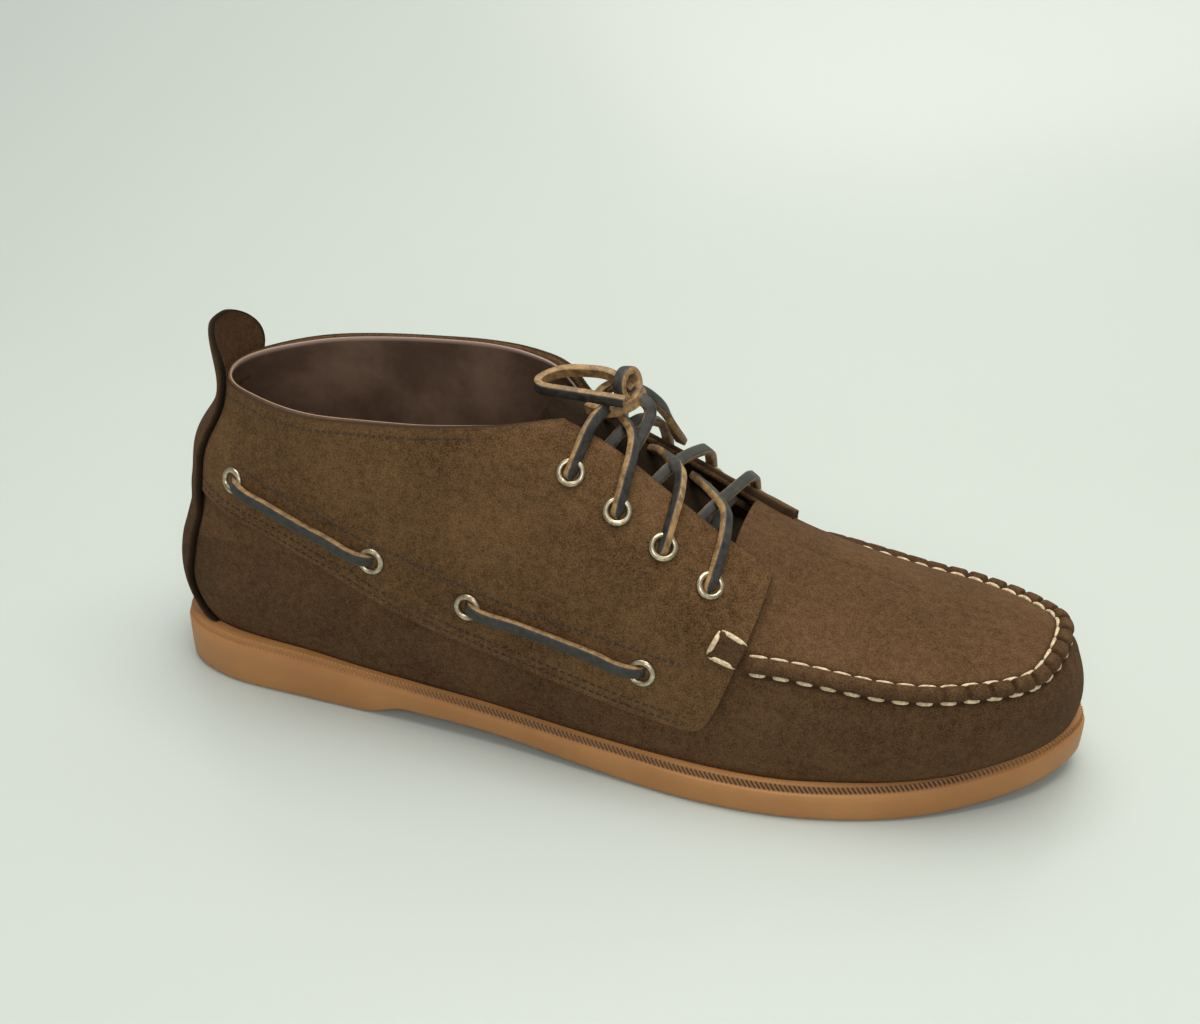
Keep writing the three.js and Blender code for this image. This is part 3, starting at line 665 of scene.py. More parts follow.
def strip(name, runs, material):
    """One mesh of several strips, with the cut sides marked."""
    points, quads, marks, start = [], [], [], 0
    side_mark = (STRIP[:, 1] < 0.4).astype(float)
    for rings in runs:
        count, around = rings.shape[:2]
        points.append(rings.reshape(-1, 3))
        quads += grid_quads(count, around, True, start).tolist()
        end = start + (count - 1) * around
        quads.append(list(range(start, start + around))[::-1])
        quads.append(list(range(end, end + around)))
        sides = np.tile(side_mark, (count, 1))
        sides[[0, -1]] = 1
        marks.append(sides.ravel())
        start += count * around
    made = piece(name, np.concatenate(points), quads, material, 50)
    mark(made, "cut", np.concatenate(marks))
    return made


UP = np.array([0.0, 0.0, 1.0])
TOEWARDS = np.array([1.0, 0.0, 0.0])
THROAT = {-1: THROAT_LATERAL, 1: THROAT_MEDIAL}
STRAND = {
    -1: [
        (-0.2, 0.02, 4.6), (-0.02, 0.06, 4.6), (0.15, 0.18, 4.4), (0.45, 0.48, 0),
        (0.8, 0.84, -3.6), (1.02, 0.97, -4.2),
    ],
    1: [
        (-0.2, 0.02, 4.6), (-0.02, 0.04, 5), (0.16, 0.08, 4.6), (0.5, 0.2, 2.6), (0.78, 0.32, 0.6),
        (0.94, 0.4, -2.6), (1.04, 0.46, -4.2),
    ],
}
LACE_ROLL = {-1: (1.2, 1.2, -1.3, 0.5), 1: (0, 0.2, 0.2, 0.2)}


def rolled(stops, roll):
    """The same stops with the flat side turned towards the toe, or away from it."""
    return [(point, unit(way + roll * TOEWARDS)) for point, way in stops]


def through_eyelet(row, side):
    """Stops from under the quarter up through a lacing eyelet."""
    along, up = LACING[side][row]
    return [on_side(along, up, side, lift) for lift in (-3.4, -0.4, 2.2)]


def strand_stops(row, side):
    """Stops from above an eyelet over the near edge to under the far edge of the throat."""
    near, far = THROAT[side], THROAT[-side]
    start, end = along_to_x(LACING[side][row][0]), along_to_x(LACING[-side][row - 1][0])
    return [
        on_crown(start + (end - start) * ahead, near + (far - near) * across, lift)
        for across, ahead, lift in STRAND[side]
    ]


KNOT = np.array([1.0, -2.0, 111.0])
LOW_RUN_BACK, LOW_RUN_REACH, LOW_RUN_DEPTH = 1.5, 1.14, -4.3


def half_lacing(side):
    """One end of the thong from the low run to the knot."""
    x_low = along_to_x(LACING[side][3][0]) - LOW_RUN_BACK
    edge = LOW_RUN_REACH * THROAT[side]
    low_run = (-1, LOW_RUN_DEPTH), (edge * 0.6, LOW_RUN_DEPTH), (edge, LOW_RUN_DEPTH - 0.1)
    stops = [on_crown(x_low, y, lift) for y, lift in low_run]
    for row in (3, 2, 1):
        strand = strand_stops(row, side)
        stops += rolled(through_eyelet(row, side) + strand[:3], LACE_ROLL[side][row])
        stops += strand[3:]
        side = -side
    over = on_crown(along_to_x(LACING[side][0][0]) + 2, THROAT[side], 4.6)
    into_knot = (KNOT + (-1, side * 4.4, -2), over[1])
    stops += rolled(through_eyelet(0, side) + [over, into_knot], LACE_ROLL[side][0])
    return strip_rings(stops)[0]


lacing = strip("lacing", [half_lacing(-1), half_lacing(1)], thong)
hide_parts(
    "lace_cross_1", "lace_cross_2", "lace_cross_3", "lace_low_run", "lace_top_lateral",
    "lace_top_medial",
)
print("lacing has", len(lacing.data.polygons), "faces")


# %% Side laces
def side_run(start, end, side):
    """A lace that comes out of one side eyelet and goes into the next."""
    rows = []
    for share, lift in (
        (0, -2.6), (0.0, 0.6), (0.05, 3.6), (0.14, 4.4), (0.28, 3.2), (0.5, 2.9),
        (0.72, 3.2), (0.86, 4.4), (0.95, 3.6), (1.0, 0.6), (1, -2.6),
    ):
        along, up = (a + (b - a) * share for a, b in zip(SIDE_LACE[start], SIDE_LACE[end]))
        rows.append(on_side(along, up, side, lift))
    return strip_rings(rows)[0]


for side_name, side in SIDES:
    run = strip(f"side_lace_{side_name}", [side_run(0, 1, side), side_run(2, 3, side)], thong)
    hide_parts(f"side_lace_{side_name}_rear", f"side_lace_{side_name}_front")
print("side laces run through", 2 * len(SIDE_LACE), "eyelets")

# %% [markdown]
# The two ends are tied in a bow of one loop that stands on edge over the tongue. The knot, its loop
# and its ends are free cord; the loop and the ends print their lengths. Their routes are those of
# the solids, each run on into the knot.

# %% Bow
BOW_LOOP = [
    (4.6, -1, 1.4, 90, 40), (-3.2, 1.2, 4.6, 90, 22), (-11, 1, 5, 92, 22), (-18, 0, 4.4, 105, 22),
    (-22.5, -3, 3.2, 145, 10), (-24, -6.5, 2.4, 190, 0), (-21.5, -9.6, 2.1, 245, -12),
    (-14, -10.2, 2, 268, -18), (-5, -10.2, 1.7, 272, -18), (4.5, -9.8, 1.1, 275, -18),
]
BOW_FOLD = [
    (-4.5, 2.5, -0.5, 270, 60), (0, 1.5, 2, 270, 70), (5.4, -1.5, 0.2, 270, 70),
    (9.6, -2.6, -1.8, 290, 55), (11, -4.4, -4.6, 300, 35), (9.8, -8.2, -9.2, 280, 25),
    (7.8, -12.2, -13.6, 275, 25),
]
BOW_END = [
    (0, 1, 1, 300, 70), (4.6, 3.6, -0.2, 300, 60), (7.8, 7, -3.4, 310, 50),
    (11, 10.6, -8.4, 330, 48), (13, 14.8, -14.8, 20, 46), (13.8, 18.7, -19.8, 50, 48),
    (14, 22.4, -23.2, 64, 48), (14, 26.2, -26.4, 66, 46),
]
KNOT_TURN = [
    (-8.5, -4.6, -4.6, 260, -10), (-4, -7.4, -4, 270, -10), (1.5, -7.2, -3, 280, -5),
    (6, -4, -1, 320, 10), (6.4, 0.5, 1.5, 20, 30), (1, 3, 2.2, 90, 40), (-5, 1.5, -0.5, 150, 20),
    (-8, -2.2, -3.6, 210, 0),
]
KNOT_RING_CENTRE, KNOT_RING_RADIUS = np.array([3.2, -1.8, 3.2]), 4.6
KNOT_RING_AXIS = unit(np.array([0.95, -0.3, 0.2]))


def facing(turn, lean):
    """Direction from a turn in plan and a lean upwards, in degrees."""
    turn, lean = math.radians(turn), math.radians(lean)
    level = math.cos(lean)
    return np.array([math.cos(turn) * level, math.sin(turn) * level, math.sin(lean)])


def bow_stops(route):
    return [(KNOT + (x, y, z), facing(turn, lean)) for x, y, z, turn, lean in route]


def knot_ring():
    """A turn of the thong round the root of the bow."""
    first = unit(np.cross(KNOT_RING_AXIS, UP))
    second = np.cross(KNOT_RING_AXIS, first)
    stops = []
    for angle in np.linspace(0.3, 0.3 + 2 * np.pi, 15):
        out = math.cos(angle) * first + math.sin(angle) * second
        stops.append((KNOT + KNOT_RING_CENTRE + KNOT_RING_RADIUS * out, out))
    return stops


turn_stops = [(point, -way) for point, way in bow_stops(KNOT_TURN)]
knot = strip("knot", [strip_rings(knot_ring())[0], strip_rings(turn_stops)[0]], thong)
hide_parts("lace_knot")


def bow_part(name, route, node):
    rings, points, length = strip_rings(bow_stops(route))
    made = strip(name, [rings], thong)
    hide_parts(node)
    print(name, round(length, 1), "mm")


bow_part("bow_loop", BOW_LOOP, "lace_loop_back")
bow_part("bow_fold", BOW_FOLD, "lace_loop_front")
bow_part("bow_end", BOW_END, "lace_end_medial")

# %% [markdown]
# The wall of the upper runs all round the boot and closes over the toe. Its top is gathered on to
# the toe piece by hand: two rows of thick waxed thread hold a raised ridge between them, and every
# stitch pinches the leather, most of all round the toe. The ridge and its puckers are worked into
# the points of the wall as heights over the last.

# %% Seam measure
SEAM_PITCH = 7.0
seam_w = np.linspace(0, 1, 4001)
seam_run = np.append(0, np.cumsum(np.linalg.norm(np.diff(bend(seam_w), axis=0), axis=1)))


def seam_length(w):
    return np.interp(np.asarray(w) % 1.0, seam_w, seam_run)


def seam_scale(w):
    """Millimetres in one level just below and just above the moccasin seam."""
    down = np.linalg.norm(bend(w) - last_point(w, 0.8), axis=-1) / 0.2
    up = np.linalg.norm(last_point(w, 1.2) - bend(w), axis=-1) / 0.2
    return down, up


def level_to_mm(w, v):
    """Millimetres from the moccasin seam, negative on the wall and positive on the toe piece."""
    down, up = seam_scale(w)
    return np.where(v < 1, (v - 1) * down, (v - 1) * up)


def waves(points):
    """Slow unevenness of worn leather, with the pinch above the heel."""
    x, y, z = np.moveaxis(points, -1, 0)
    broad = np.sin(x / 19 + z / 13 + 0.6) * np.sin(z / 17 - x / 31 + 1.1)
    small = np.sin(x / 7.3 - z / 5.9 + y / 9) * np.sin(z / 8.1 + x / 11.7)
    heel = (1 - ramp(x, along_to_x(7), along_to_x(16))) * hump(y, 0, 26)
    pinch = 1.8 * hump(z, 78, 9) - 2.6 * hump(z, 96, 9)
    return 0.28 * broad + 0.1 * small + heel * pinch


RIDGE_HALF = 2.5


def seam_relief(w, v, points):
    along = x_to_along(points[..., 0])
    strength = ramp(along, 65.5, 68)
    off = level_to_mm(w, v)
    phase = np.cos(2 * np.pi * seam_length(w) / SEAM_PITCH)
    slot = np.maximum(phase, 0) ** 5
    toe = ramp(along, 80, 92)
    arch = np.sqrt(np.maximum(0, 1 - (np.abs(off) / RIDGE_HALF) ** 2.4))
    ridge = (2.3 - 0.3 * toe) * arch * (1 - (0.12 + 0.62 * toe) * slot)
    pinch = -(0.5 + 0.4 * toe * slot) * hump(off, -3, 1.0)
    gather = -0.45 * toe * phase * hump(off, -6, 4)
    dip = -0.55 * hump(off, 2.9, 0.9)
    return strength * (ridge + pinch + gather + dip)


def wall_depth(w, v, points):
    return seam_relief(w, v, points) + waves(points)


print("seam runs", round(float(seam_run[-1])), "mm round the boot")

# %% Upper wall
def collar_height(points):
    along = x_to_along(points[..., 0])
    lateral, medial = profile(COLLAR_LATERAL, along), profile(COLLAR_MEDIAL, along)
    return lateral + (medial - lateral) * ramp(points[..., 1], -9, 9)


def collar_level(w):
    return crossing(lambda p: p[..., 2] - collar_height(p), w, 0.4, 2)


def throat_level(w):
    """Level where a rib reaches the edge of the throat, seen from above."""
    bound = np.where(np.asarray(w) % 1.0 < 0.5, -THROAT_LATERAL, THROAT_MEDIAL)
    behind = along_to_x(30)
    return crossing(lambda p: np.minimum(bound - np.abs(p[..., 1]), p[..., 0] - behind), w, 1, 2)


def front_level(w, x):
    return crossing(lambda p: x - p[..., 0], w, 1, 2)


TOE_PIECE_REAR = along_to_x(64)


def wall_columns(count):
    """Positions round the boot that crowd together where the toe is gathered."""
    even = np.linspace(0, 1, 4001)
    crowd = np.cumsum(1 + 1.2 * hump(even, 0.5, 0.1))
    crowd = (crowd - crowd[0]) / (crowd[-1] - crowd[0])
    return np.interp(np.arange(count) / count, crowd, even)


wall_w = wall_columns(960)
wall_top = np.maximum(throat_level(wall_w), front_level(wall_w, TOE_PIECE_REAR))
wall_top = np.minimum(collar_level(wall_w), wall_top)
low_rows = np.concatenate([np.linspace(0, 0.74, 14)[:-1], np.linspace(0.74, 1.2, 46)])
high_rows = np.linspace(0, 1, 23)[1:]
levels = np.concatenate([
    np.repeat(low_rows[:, None], len(wall_w), 1),
    1.2 + high_rows[:, None] * (wall_top[None, :] - 1.2),
])
columns = np.repeat(wall_w[None, :], len(levels), 0)
bare_wall = last_point(columns, levels)
ridge_line = (levels > 1.9995)[..., None]
normals = last_normal(columns, levels)
mirrored = last_normal(1 - columns, levels)
normals = np.where(ridge_line, unit(normals + mirrored), normals)
outer = bare_wall + normals * wall_depth(columns, levels, bare_wall)[..., None]
inner = bare_wall - normals * WALL
wall_points, wall_quads = slab(outer, inner, joined=True)
wall = piece("upper_wall", wall_points, wall_quads, wall_suede_with_painted_shade)
wall.data.materials.append(toe_suede)
wall_off = level_to_mm(columns, levels)
toe_rows = (wall_off > RIDGE_HALF)[:-1].ravel()
wall_paint = np.zeros(len(wall_quads), int)
wall_paint[: toe_rows.size] = toe_rows
wall.data.polygons.foreach_set("material_index", wall_paint)
wall_along = x_to_along(bare_wall[..., 0])
# Painted shade: the suede is darkened in the stitch slots on the ridge and in the grooves on both
# sides of it, through the edge value that mixes in the suede's dark colour.
notch_shade = np.maximum(np.cos(2 * np.pi * seam_length(columns) / SEAM_PITCH), 0) ** 3
notch_shade = notch_shade * hump(wall_off, 1.2, 1.3) * (0.35 + 0.65 * ramp(wall_along, 80, 92))
ditch_shade = 0.7 * hump(wall_off, -3.1, 0.8) + 0.6 * hump(wall_off, 3.0, 0.8)
painted_seam_shade = np.clip(notch_shade + ditch_shade, 0, 1) * ramp(wall_along, 66.5, 68)
mark(wall, "edge", np.stack([painted_seam_shade, 0 * painted_seam_shade]))
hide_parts("upper")


def weld(made, distance=2e-5):
    """Joins points that lie on each other and drops the faces that this makes empty."""
    work = bmesh.new()
    work.from_mesh(made.data)
    bmesh.ops.remove_doubles(work, verts=work.verts, dist=distance)
    bmesh.ops.dissolve_degenerate(work, edges=work.edges, dist=1e-7)
    work.to_mesh(made.data)
    work.free()


weld(wall)
print("upper wall", len(wall.data.polygons), "faces")

# %% [markdown]
# The quarters are a second layer of lighter suede sewn over the wall from the heel to the front of
# the lacing. Each is a sheet with cut edges: its outline in side view is a table, and rows crowd
# together near the edges so that the thickness of the leather rounds off.

# %% Quarters
def quarter_edge(points):
    return points[..., 2] - profile(QUARTER_EDGE, x_to_along(points[..., 0]))


def soft_least(a, b, width):
    """The smaller of two levels, with the corner between them rounded."""
    h = np.clip(0.5 + 0.5 * (b - a) / width, 0, 1)
    return b + (a - b) * h - width * h * (1 - h)


def quarter_levels(w):
    low = crossing(quarter_edge, w, 0, 2)
    high = soft_least(collar_level(w), throat_level(w), 0.05)
    return low, high


def quarter_end(side):
    """Position of the front corner, where the lower and the throat edge meet."""
    trial = np.linspace(0.25, 0.36, 800)
    low, high = quarter_levels(trial if side < 0 else 1 - trial)
    return trial[np.argmax(low > high - 0.02)]


EDGE_ROWS = np.array([0, 0.12, 0.3, 0.55, 0.9, 1.4])
EDGE_ROUND = 0.9
FRONT_STAND = 1.1


def quarter_grid(side):
    end = quarter_end(side)
    share = np.concatenate([np.linspace(0, 0.8, 260)[:-1], np.linspace(0.8, 1, 200)])
    half = share * end
    w = half if side < 0 else 1 - half
    low, high = quarter_levels(w)
    tip = np.clip((share - 0.985) / 0.015, 0, 1)
    gap = np.maximum(high - low, 0.002) * np.sqrt(1 - 0.97 * tip ** 2)
    high = low + gap
    steps = np.linspace(0, 1, 9)[:, None]
    path = last_point(w[None, :], low + steps * gap)
    tall = np.linalg.norm(np.diff(path, axis=0), axis=2).sum(0)
    fit = np.minimum(1, tall / (4 * EDGE_ROWS[-1]))
    first = EDGE_ROWS[:, None] * fit / tall
    middle = np.linspace(0, 1, 62)[1:-1, None]
    middle = first[-1] + middle * (1 - 2 * first[-1])
    rows = np.concatenate([first, middle, 1 - first[::-1]])
    v = low + rows * gap
    from_edge = np.minimum(rows, 1 - rows) * tall
    return np.repeat(w[None, :], len(v), 0), v, from_edge


def edge_height(from_edge, thick):
    """Height of a sheet near its cut edge."""
    short = 1 - np.clip(from_edge / EDGE_ROUND, 0, 1)
    return 0.15 + (thick - 0.15) * np.sqrt(1 - short ** 2)


for side_name, side in SIDES:
    w, v, from_edge = quarter_grid(side)
    bare = last_point(w, v)
    out = last_normal(w, v)
    rough = waves(bare)
    stand = QUARTER_STEP + FRONT_STAND * ramp(x_to_along(bare[..., 0]), 60, 65.5)
    top = bare + out * (rough + edge_height(from_edge, stand))[..., None]
    under = bare + out * (rough * 0.5 - 0.1)[..., None]
    points, quads = slab(top, under)
    quarter = piece(f"quarter_{side_name}", points, face_out(quads, side), quarter_suede)
    raw = np.clip(1.2 - from_edge / 0.9, 0, 1)
    mark(quarter, "edge", np.stack([raw, raw]))
    print(quarter.name, len(quarter.data.polygons), "faces")

# %% [markdown]
# Inside, the ankle is lined with smooth dark leather. It is a thin sheet laid just inside the wall.

# %% Lining
lining_leather, lining_tree, lining_shader = paint("lining_leather")
lining_where = own_space(lining_tree)
lining_grain = noise(lining_tree, 900, 3, 0.6, lining_where)
lining_patch = noise(lining_tree, 42, 4, 0.6, lining_where)
dark_lining, rubbed_lining = (0.095, 0.055, 0.034), (0.21, 0.13, 0.086)
lining_colour = mottle(lining_tree, lining_patch, 0.3, 0.75, dark_lining, rubbed_lining)
lining_rim = named_value(lining_tree, "edge")
lining_colour = mix(lining_tree, lining_rim, lining_colour, (0.3, 0.2, 0.15, 1))
lining_tree.links.new(lining_colour, lining_shader.inputs["Base Color"])
lining_shader.inputs["Roughness"].default_value = 0.5
add_bump(lining_tree, lining_shader, lining_grain, 0.25, 0.0003)

half = np.linspace(-0.236, 0.236, 320)
lining_w = half % 1.0
lining_high = soft_least(collar_level(lining_w), throat_level(lining_w), 0.05)
lining_rows = np.linspace(0, 1, 70)[:, None]
lining_v = 0.1 + lining_rows * (lining_high - 0.1)
lining_columns = np.repeat(lining_w[None, :], len(lining_v), 0)
lining_out = on_last(lining_columns, lining_v, np.full(lining_v.shape, -WALL - 0.05))
lining_in = on_last(lining_columns, lining_v, np.full(lining_v.shape, -WALL - 0.75))
points, quads = slab(lining_out, lining_in)
lining = piece("lining", points, quads, lining_leather)
lining_top = np.broadcast_to(lining_rows > 0.988, lining_v.shape)
mark(lining, "edge", np.stack([lining_top, lining_top]))
print("lining", len(lining.data.polygons), "faces")

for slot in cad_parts["insole"].material_slots:
    slot.material = lining_leather

# %% [markdown]
# A broad strap covers the seam at the back of the heel. It starts at the sole, climbs over the ends
# of the quarters and ends in a rounded tab that stands above the collar as a pull.

# %% Back strap
STRAP_THICKNESS = 2.0
STRAP_FOOT, TAB_SHOULDER, TAB_RISE = 18.9, 105.0, 14.0
TAB_HALF, TAB_CENTRE = 15.5, -1.0
STRAP_EDGE = [
    (18.9, 25.5), (23, 23.2), (30, 22.6), (42, 23.8), (50, 22.6), (61, 21), (77, 17.4), (97, 15.2),
    (105, 15.5),
]
TAB_ANGLES = np.linspace(0, np.pi / 2 * 0.97, 30)[1:]
strap_z = np.concatenate([
    STRAP_FOOT + np.array([0, 0.2, 0.5, 0.9]),
    np.linspace(STRAP_FOOT + 1.5, TAB_SHOULDER, 110),
    TAB_SHOULDER + TAB_RISE * np.sin(TAB_ANGLES),
])
climb = np.clip((strap_z - STRAP_FOOT) / (TAB_SHOULDER - STRAP_FOOT), 0, 1)
strap_half = profile(STRAP_EDGE, strap_z)
strap_half[-len(TAB_ANGLES):] = TAB_HALF * np.cos(TAB_ANGLES)
edge_share = np.array([1, 0.992, 0.98, 0.96, 0.93])
strap_u = np.concatenate([-edge_share, np.linspace(-0.9, 0.9, 56), edge_share[::-1]])
strap_y = TAB_CENTRE * climb[:, None] + strap_half[:, None] * strap_u[None, :]
strap_height = np.repeat(strap_z[:, None], len(strap_u), 1)


def find_on_heel(y, z):
    """Positions and levels where the heel of the last passes given widths and heights."""
    w, v = -y / 900, np.clip((z - 18) / 60, 0, 2) + 0 * y
    for _ in range(25):
        here = last_point(w, v)
        by_w = (last_point(w + 1e-4, v) - here) / 1e-4
        by_v = (last_point(w, v + 1e-3) - here) / 1e-3
        miss_y, miss_z = y - here[..., 1], z - here[..., 2]
        size = by_w[..., 1] * by_v[..., 2] - by_w[..., 2] * by_v[..., 1]
        w = w + np.clip((miss_y * by_v[..., 2] - miss_z * by_v[..., 1]) / size, -0.01, 0.01)
        v = v + np.clip((miss_z * by_w[..., 1] - miss_y * by_w[..., 2]) / size, -0.2, 0.2)
    return w, v


strap_w, strap_v = find_on_heel(strap_y, strap_height)
strap_bare = last_point(strap_w, strap_v)
flare = 3.2 * ramp(strap_height, 100, 119) ** 1.3
seat = ramp(strap_height, 56, 66) * QUARTER_STEP + GAP + waves(strap_bare) + flare
side_gap = (1 - np.abs(strap_u))[None, :] * strap_half[:, None]
edge_gap = np.minimum(side_gap, strap_height - STRAP_FOOT)
edge_gap = np.minimum(edge_gap, TAB_SHOULDER + TAB_RISE - strap_height)
strap_top = on_last(strap_w, strap_v, seat + edge_height(edge_gap, STRAP_THICKNESS))
strap_under = on_last(strap_w, strap_v, seat)
points, quads = slab(strap_top, strap_under)
strap = piece("heel_strap", points, quads[:, ::-1], strap_suede)
strap_raw = np.clip(1 - edge_gap / 0.8, 0, 1)
mark(strap, "edge", np.stack([strap_raw, strap_raw]))
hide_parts("back_strap")
print("heel strap", len(strap.data.polygons), "faces")

# %% [markdown]
# The tongue lies in the throat under the laces. It is a soft curved sheet, hollow across, that
# dives under the toe piece at its front end.

# %% Tongue
TONGUE_LINE = [
    (60, 57.5), (50, 62.5), (40, 66), (30, 71.5), (20, 78.5), (10, 86), (0, 93.5), (-10, 100.5),
    (-20, 106.5),
]
TONGUE_HALF = 20.0
tongue_line = open_curve(np.array([(x, 0, z) for x, z in TONGUE_LINE]), 90)
tongue_ahead = unit(np.gradient(tongue_line, axis=0))
tongue_up = np.cross(tongue_ahead, np.array([0.0, 1.0, 0.0]))
tongue_up *= np.sign(tongue_up[:, 2:])
tongue_u = np.linspace(-1, 1, 41)
tongue_taper = np.interp(np.arange(90), [0, 20, 84, 89], [0.82, 1, 0.98, 0.86])
tongue_y = tongue_u[None, :] * TONGUE_HALF * tongue_taper[:, None] - 1
drop = tongue_y ** 2 / 84


def tongue_sheet(lift):
    sheet = tongue_line[:, None] - tongue_up[:, None] * (drop - lift)[..., None]
    sheet[..., 1] = tongue_y
    return sheet


tongue_wave = 0.5 * np.sin(np.arange(90)[:, None] / 9 + tongue_u * 2)
points, quads = slab(tongue_sheet(tongue_wave), tongue_sheet(tongue_wave - 2.2))
tongue = piece("tongue_sheet", points, quads, tongue_suede)
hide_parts("tongue")
print("tongue", len(tongue.data.polygons), "faces")

# %% [markdown]
# The sole is one moulding of gum rubber with a smooth side, a heel step and a fine row of slanted
# ribs along its top rim. The ribs are real: each is a small shift of the rim's points, so the
# columns stand close together. The gaps between them are marked and get a painted shade.

# %% Sole
rubber, rubber_tree, rubber_shader = paint("gum_rubber")
rubber_where = own_space(rubber_tree)
rubber_patch = noise(rubber_tree, 30, 4, 0.6, rubber_where)
rubber_speck = noise(rubber_tree, 700, 2, 0.5, rubber_where)
gum = mottle(rubber_tree, rubber_patch, 0.3, 0.7, (0.37, 0.162, 0.047), (0.44, 0.205, 0.062))
# Painted shade: where the groove value is marked, the gum is mixed towards a near-black brown.
gum = mix(rubber_tree, named_value(rubber_tree, "groove"), gum, (0.03, 0.012, 0.005, 1))
gum_roughness = spread(rubber_tree, rubber_patch, 0.2, 0.8, 0.42, 0.58)
rubber_tree.links.new(gum, rubber_shader.inputs["Base Color"])
rubber_tree.links.new(gum_roughness, rubber_shader.inputs["Roughness"])
rubber_shader.inputs["Subsurface Weight"].default_value = 0.12
rubber_shader.inputs["Subsurface Radius"].default_value = (0.004, 0.002, 0.001)
add_bump(rubber_tree, rubber_shader, rubber_speck, 0.1, 0.0002)

SOLE_COLUMNS = 2400
RIM, RIM_STEP, RIB_COUNT = 2.6, 0.8, 480
RIM_SLANTS = np.linspace(0, 1, 7)
sole_w = np.arange(SOLE_COLUMNS) / SOLE_COLUMNS
edge = outline(sole_w)
out = outward(outline, sole_w)
sole_run = np.append(0, np.cumsum(np.linalg.norm(np.diff(edge, axis=0), axis=1)))
sole_run = sole_run / (sole_run[-1] + np.linalg.norm(edge[0] - edge[-1]))
top, bottom = sole_top(edge[:, 0]), sole_bottom(edge[:, 0])


def rib_wave(slant):
    """Saw of the rim's ribs, leaning by a share of one rib."""
    t = (sole_run * RIB_COUNT + slant) % 1.0
    return np.clip(1.6 - np.abs(t - 0.5) * 5, 0, 1)


def ring(inset, z):
    level = edge - out * np.broadcast_to(inset, (SOLE_COLUMNS,))[:, None]
    level[:, 2] = z
    return level


side_tall = top - RIM - bottom
side_rings = [
    ring(2.2, bottom), ring(1.3, bottom + 0.15), ring(0.7, bottom + 0.6), ring(0.35, bottom + 1.4),
    ring(0.15, bottom + 0.35 * side_tall), ring(0, bottom + 0.7 * side_tall),
    ring(0, top - RIM - 0.35), ring(0.2, top - RIM - 0.08), ring(RIM_STEP - 0.15, top - RIM),
]
rim_rings = [
    ring(RIM_STEP + 0.55 - 0.6 * rib_wave(slant), top - RIM + (0.1 + 0.85 * slant) * RIM)
    for slant in RIM_SLANTS
]
top_rings = [ring(RIM_STEP + 0.7, top), ring(RIM_STEP + 8, top)]
rings = np.array(side_rings + rim_rings + top_rings)
sole_points = rings.reshape(-1, 3)
sole_quads = grid_quads(len(rings), SOLE_COLUMNS, True)
half_count = SOLE_COLUMNS // 2


def cap(ring_index, rows, shape, flip):
    """Fills the sole across, from its lateral to its medial side."""
    lateral = rings[ring_index][: half_count + 1]
    medial = rings[ring_index][np.r_[0, SOLE_COLUMNS - 1 : half_count - 1 : -1]]
    share = np.linspace(0, 1, rows)[:, None, None]
    sheet = lateral[None] * (1 - share) + medial[None] * share
    sheet[..., 2] += shape(sheet)
    quads = grid_quads(rows, half_count + 1)
    return sheet.reshape(-1, 3), quads[:, ::-1] if flip else quads


def tread(sheet):
    """Thin wavy cuts across heel and forefoot."""
    along = x_to_along(sheet[..., 0])
    wave = sheet[..., 0] + 1.6 * np.sin(sheet[..., 1] / 4.2)
    groove = np.clip(1 - np.abs(wave % 6.4 - 3.2) / 0.45, 0, 1)
    zone = np.where((along < 24) | ((along > 58) & (along < 96)), 1.0, 0.0)
    inside = np.clip(np.sin(np.linspace(0, np.pi, sheet.shape[0])) * 6, 0, 1)[:, None]
    return 0.7 * groove * zone * inside


under_points, under_quads = cap(0, 25, tread, False)
cover_points, cover_quads = cap(len(rings) - 1, 3, lambda sheet: 0 * sheet[..., 0], True)
under_quads = under_quads + len(sole_points)
cover_quads = cover_quads + len(sole_points) + len(under_points)
sole = piece(
    "sole", np.concatenate([sole_points, under_points, cover_points]),
    np.concatenate([sole_quads, under_quads, cover_quads]), rubber,
)
sole_along = x_to_along(edge[:, 0])
toothed = ramp(sole_along, 22, 40) * (1 - 0.7 * ramp(sole_along, 88, 97))
rib_gap_shade = np.zeros(len(sole.data.vertices))
# Painted shade in the gaps between the ribs and, at 0.6 of its strength, along the top ring of the
# rim.
for i, slant in enumerate(RIM_SLANTS):
    start = (len(side_rings) + i) * SOLE_COLUMNS
    depth = (1 - rib_wave(slant)) * toothed if i < 6 else 0.6 * toothed
    rib_gap_shade[start : start + SOLE_COLUMNS] = depth
mark(sole, "groove", rib_gap_shade)
weld(sole)
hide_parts("outsole")
print("sole", len(sole.data.polygons), "faces")

# %% [markdown]
# Eyelets are small rolled rings of antiqued brass. Each is a rounded section turned about the
# direction that the leather faces there.

# %% Eyelets
brass, brass_tree, brass_shader = paint("eyelet_brass")
tarnish = noise(brass_tree, 520, 4, 0.7, own_space(brass_tree))
brass_colour = mottle(brass_tree, tarnish, 0.35, 0.7, (0.6, 0.53, 0.38), (0.27, 0.215, 0.13))
brass_roughness = spread(brass_tree, tarnish, 0.3, 0.75, 0.25, 0.5)
brass_tree.links.new(brass_colour, brass_shader.inputs["Base Color"])
brass_tree.links.new(brass_roughness, brass_shader.inputs["Roughness"])
brass_shader.inputs["Metallic"].default_value = 1.0

EYELET_SECTION = np.array([
    (2.55, -3.1), (2.5, -1.5), (2.5, 0.4), (2.62, 0.9), (2.95, 1.3), (3.45, 1.45), (3.95, 1.3),
    (4.35, 0.9), (4.5, 0.5), (4.3, 0.3), (3.1, 0.25), (3.0, -3.1),
])
TURN = np.linspace(0, 2 * np.pi, 49)[:-1]


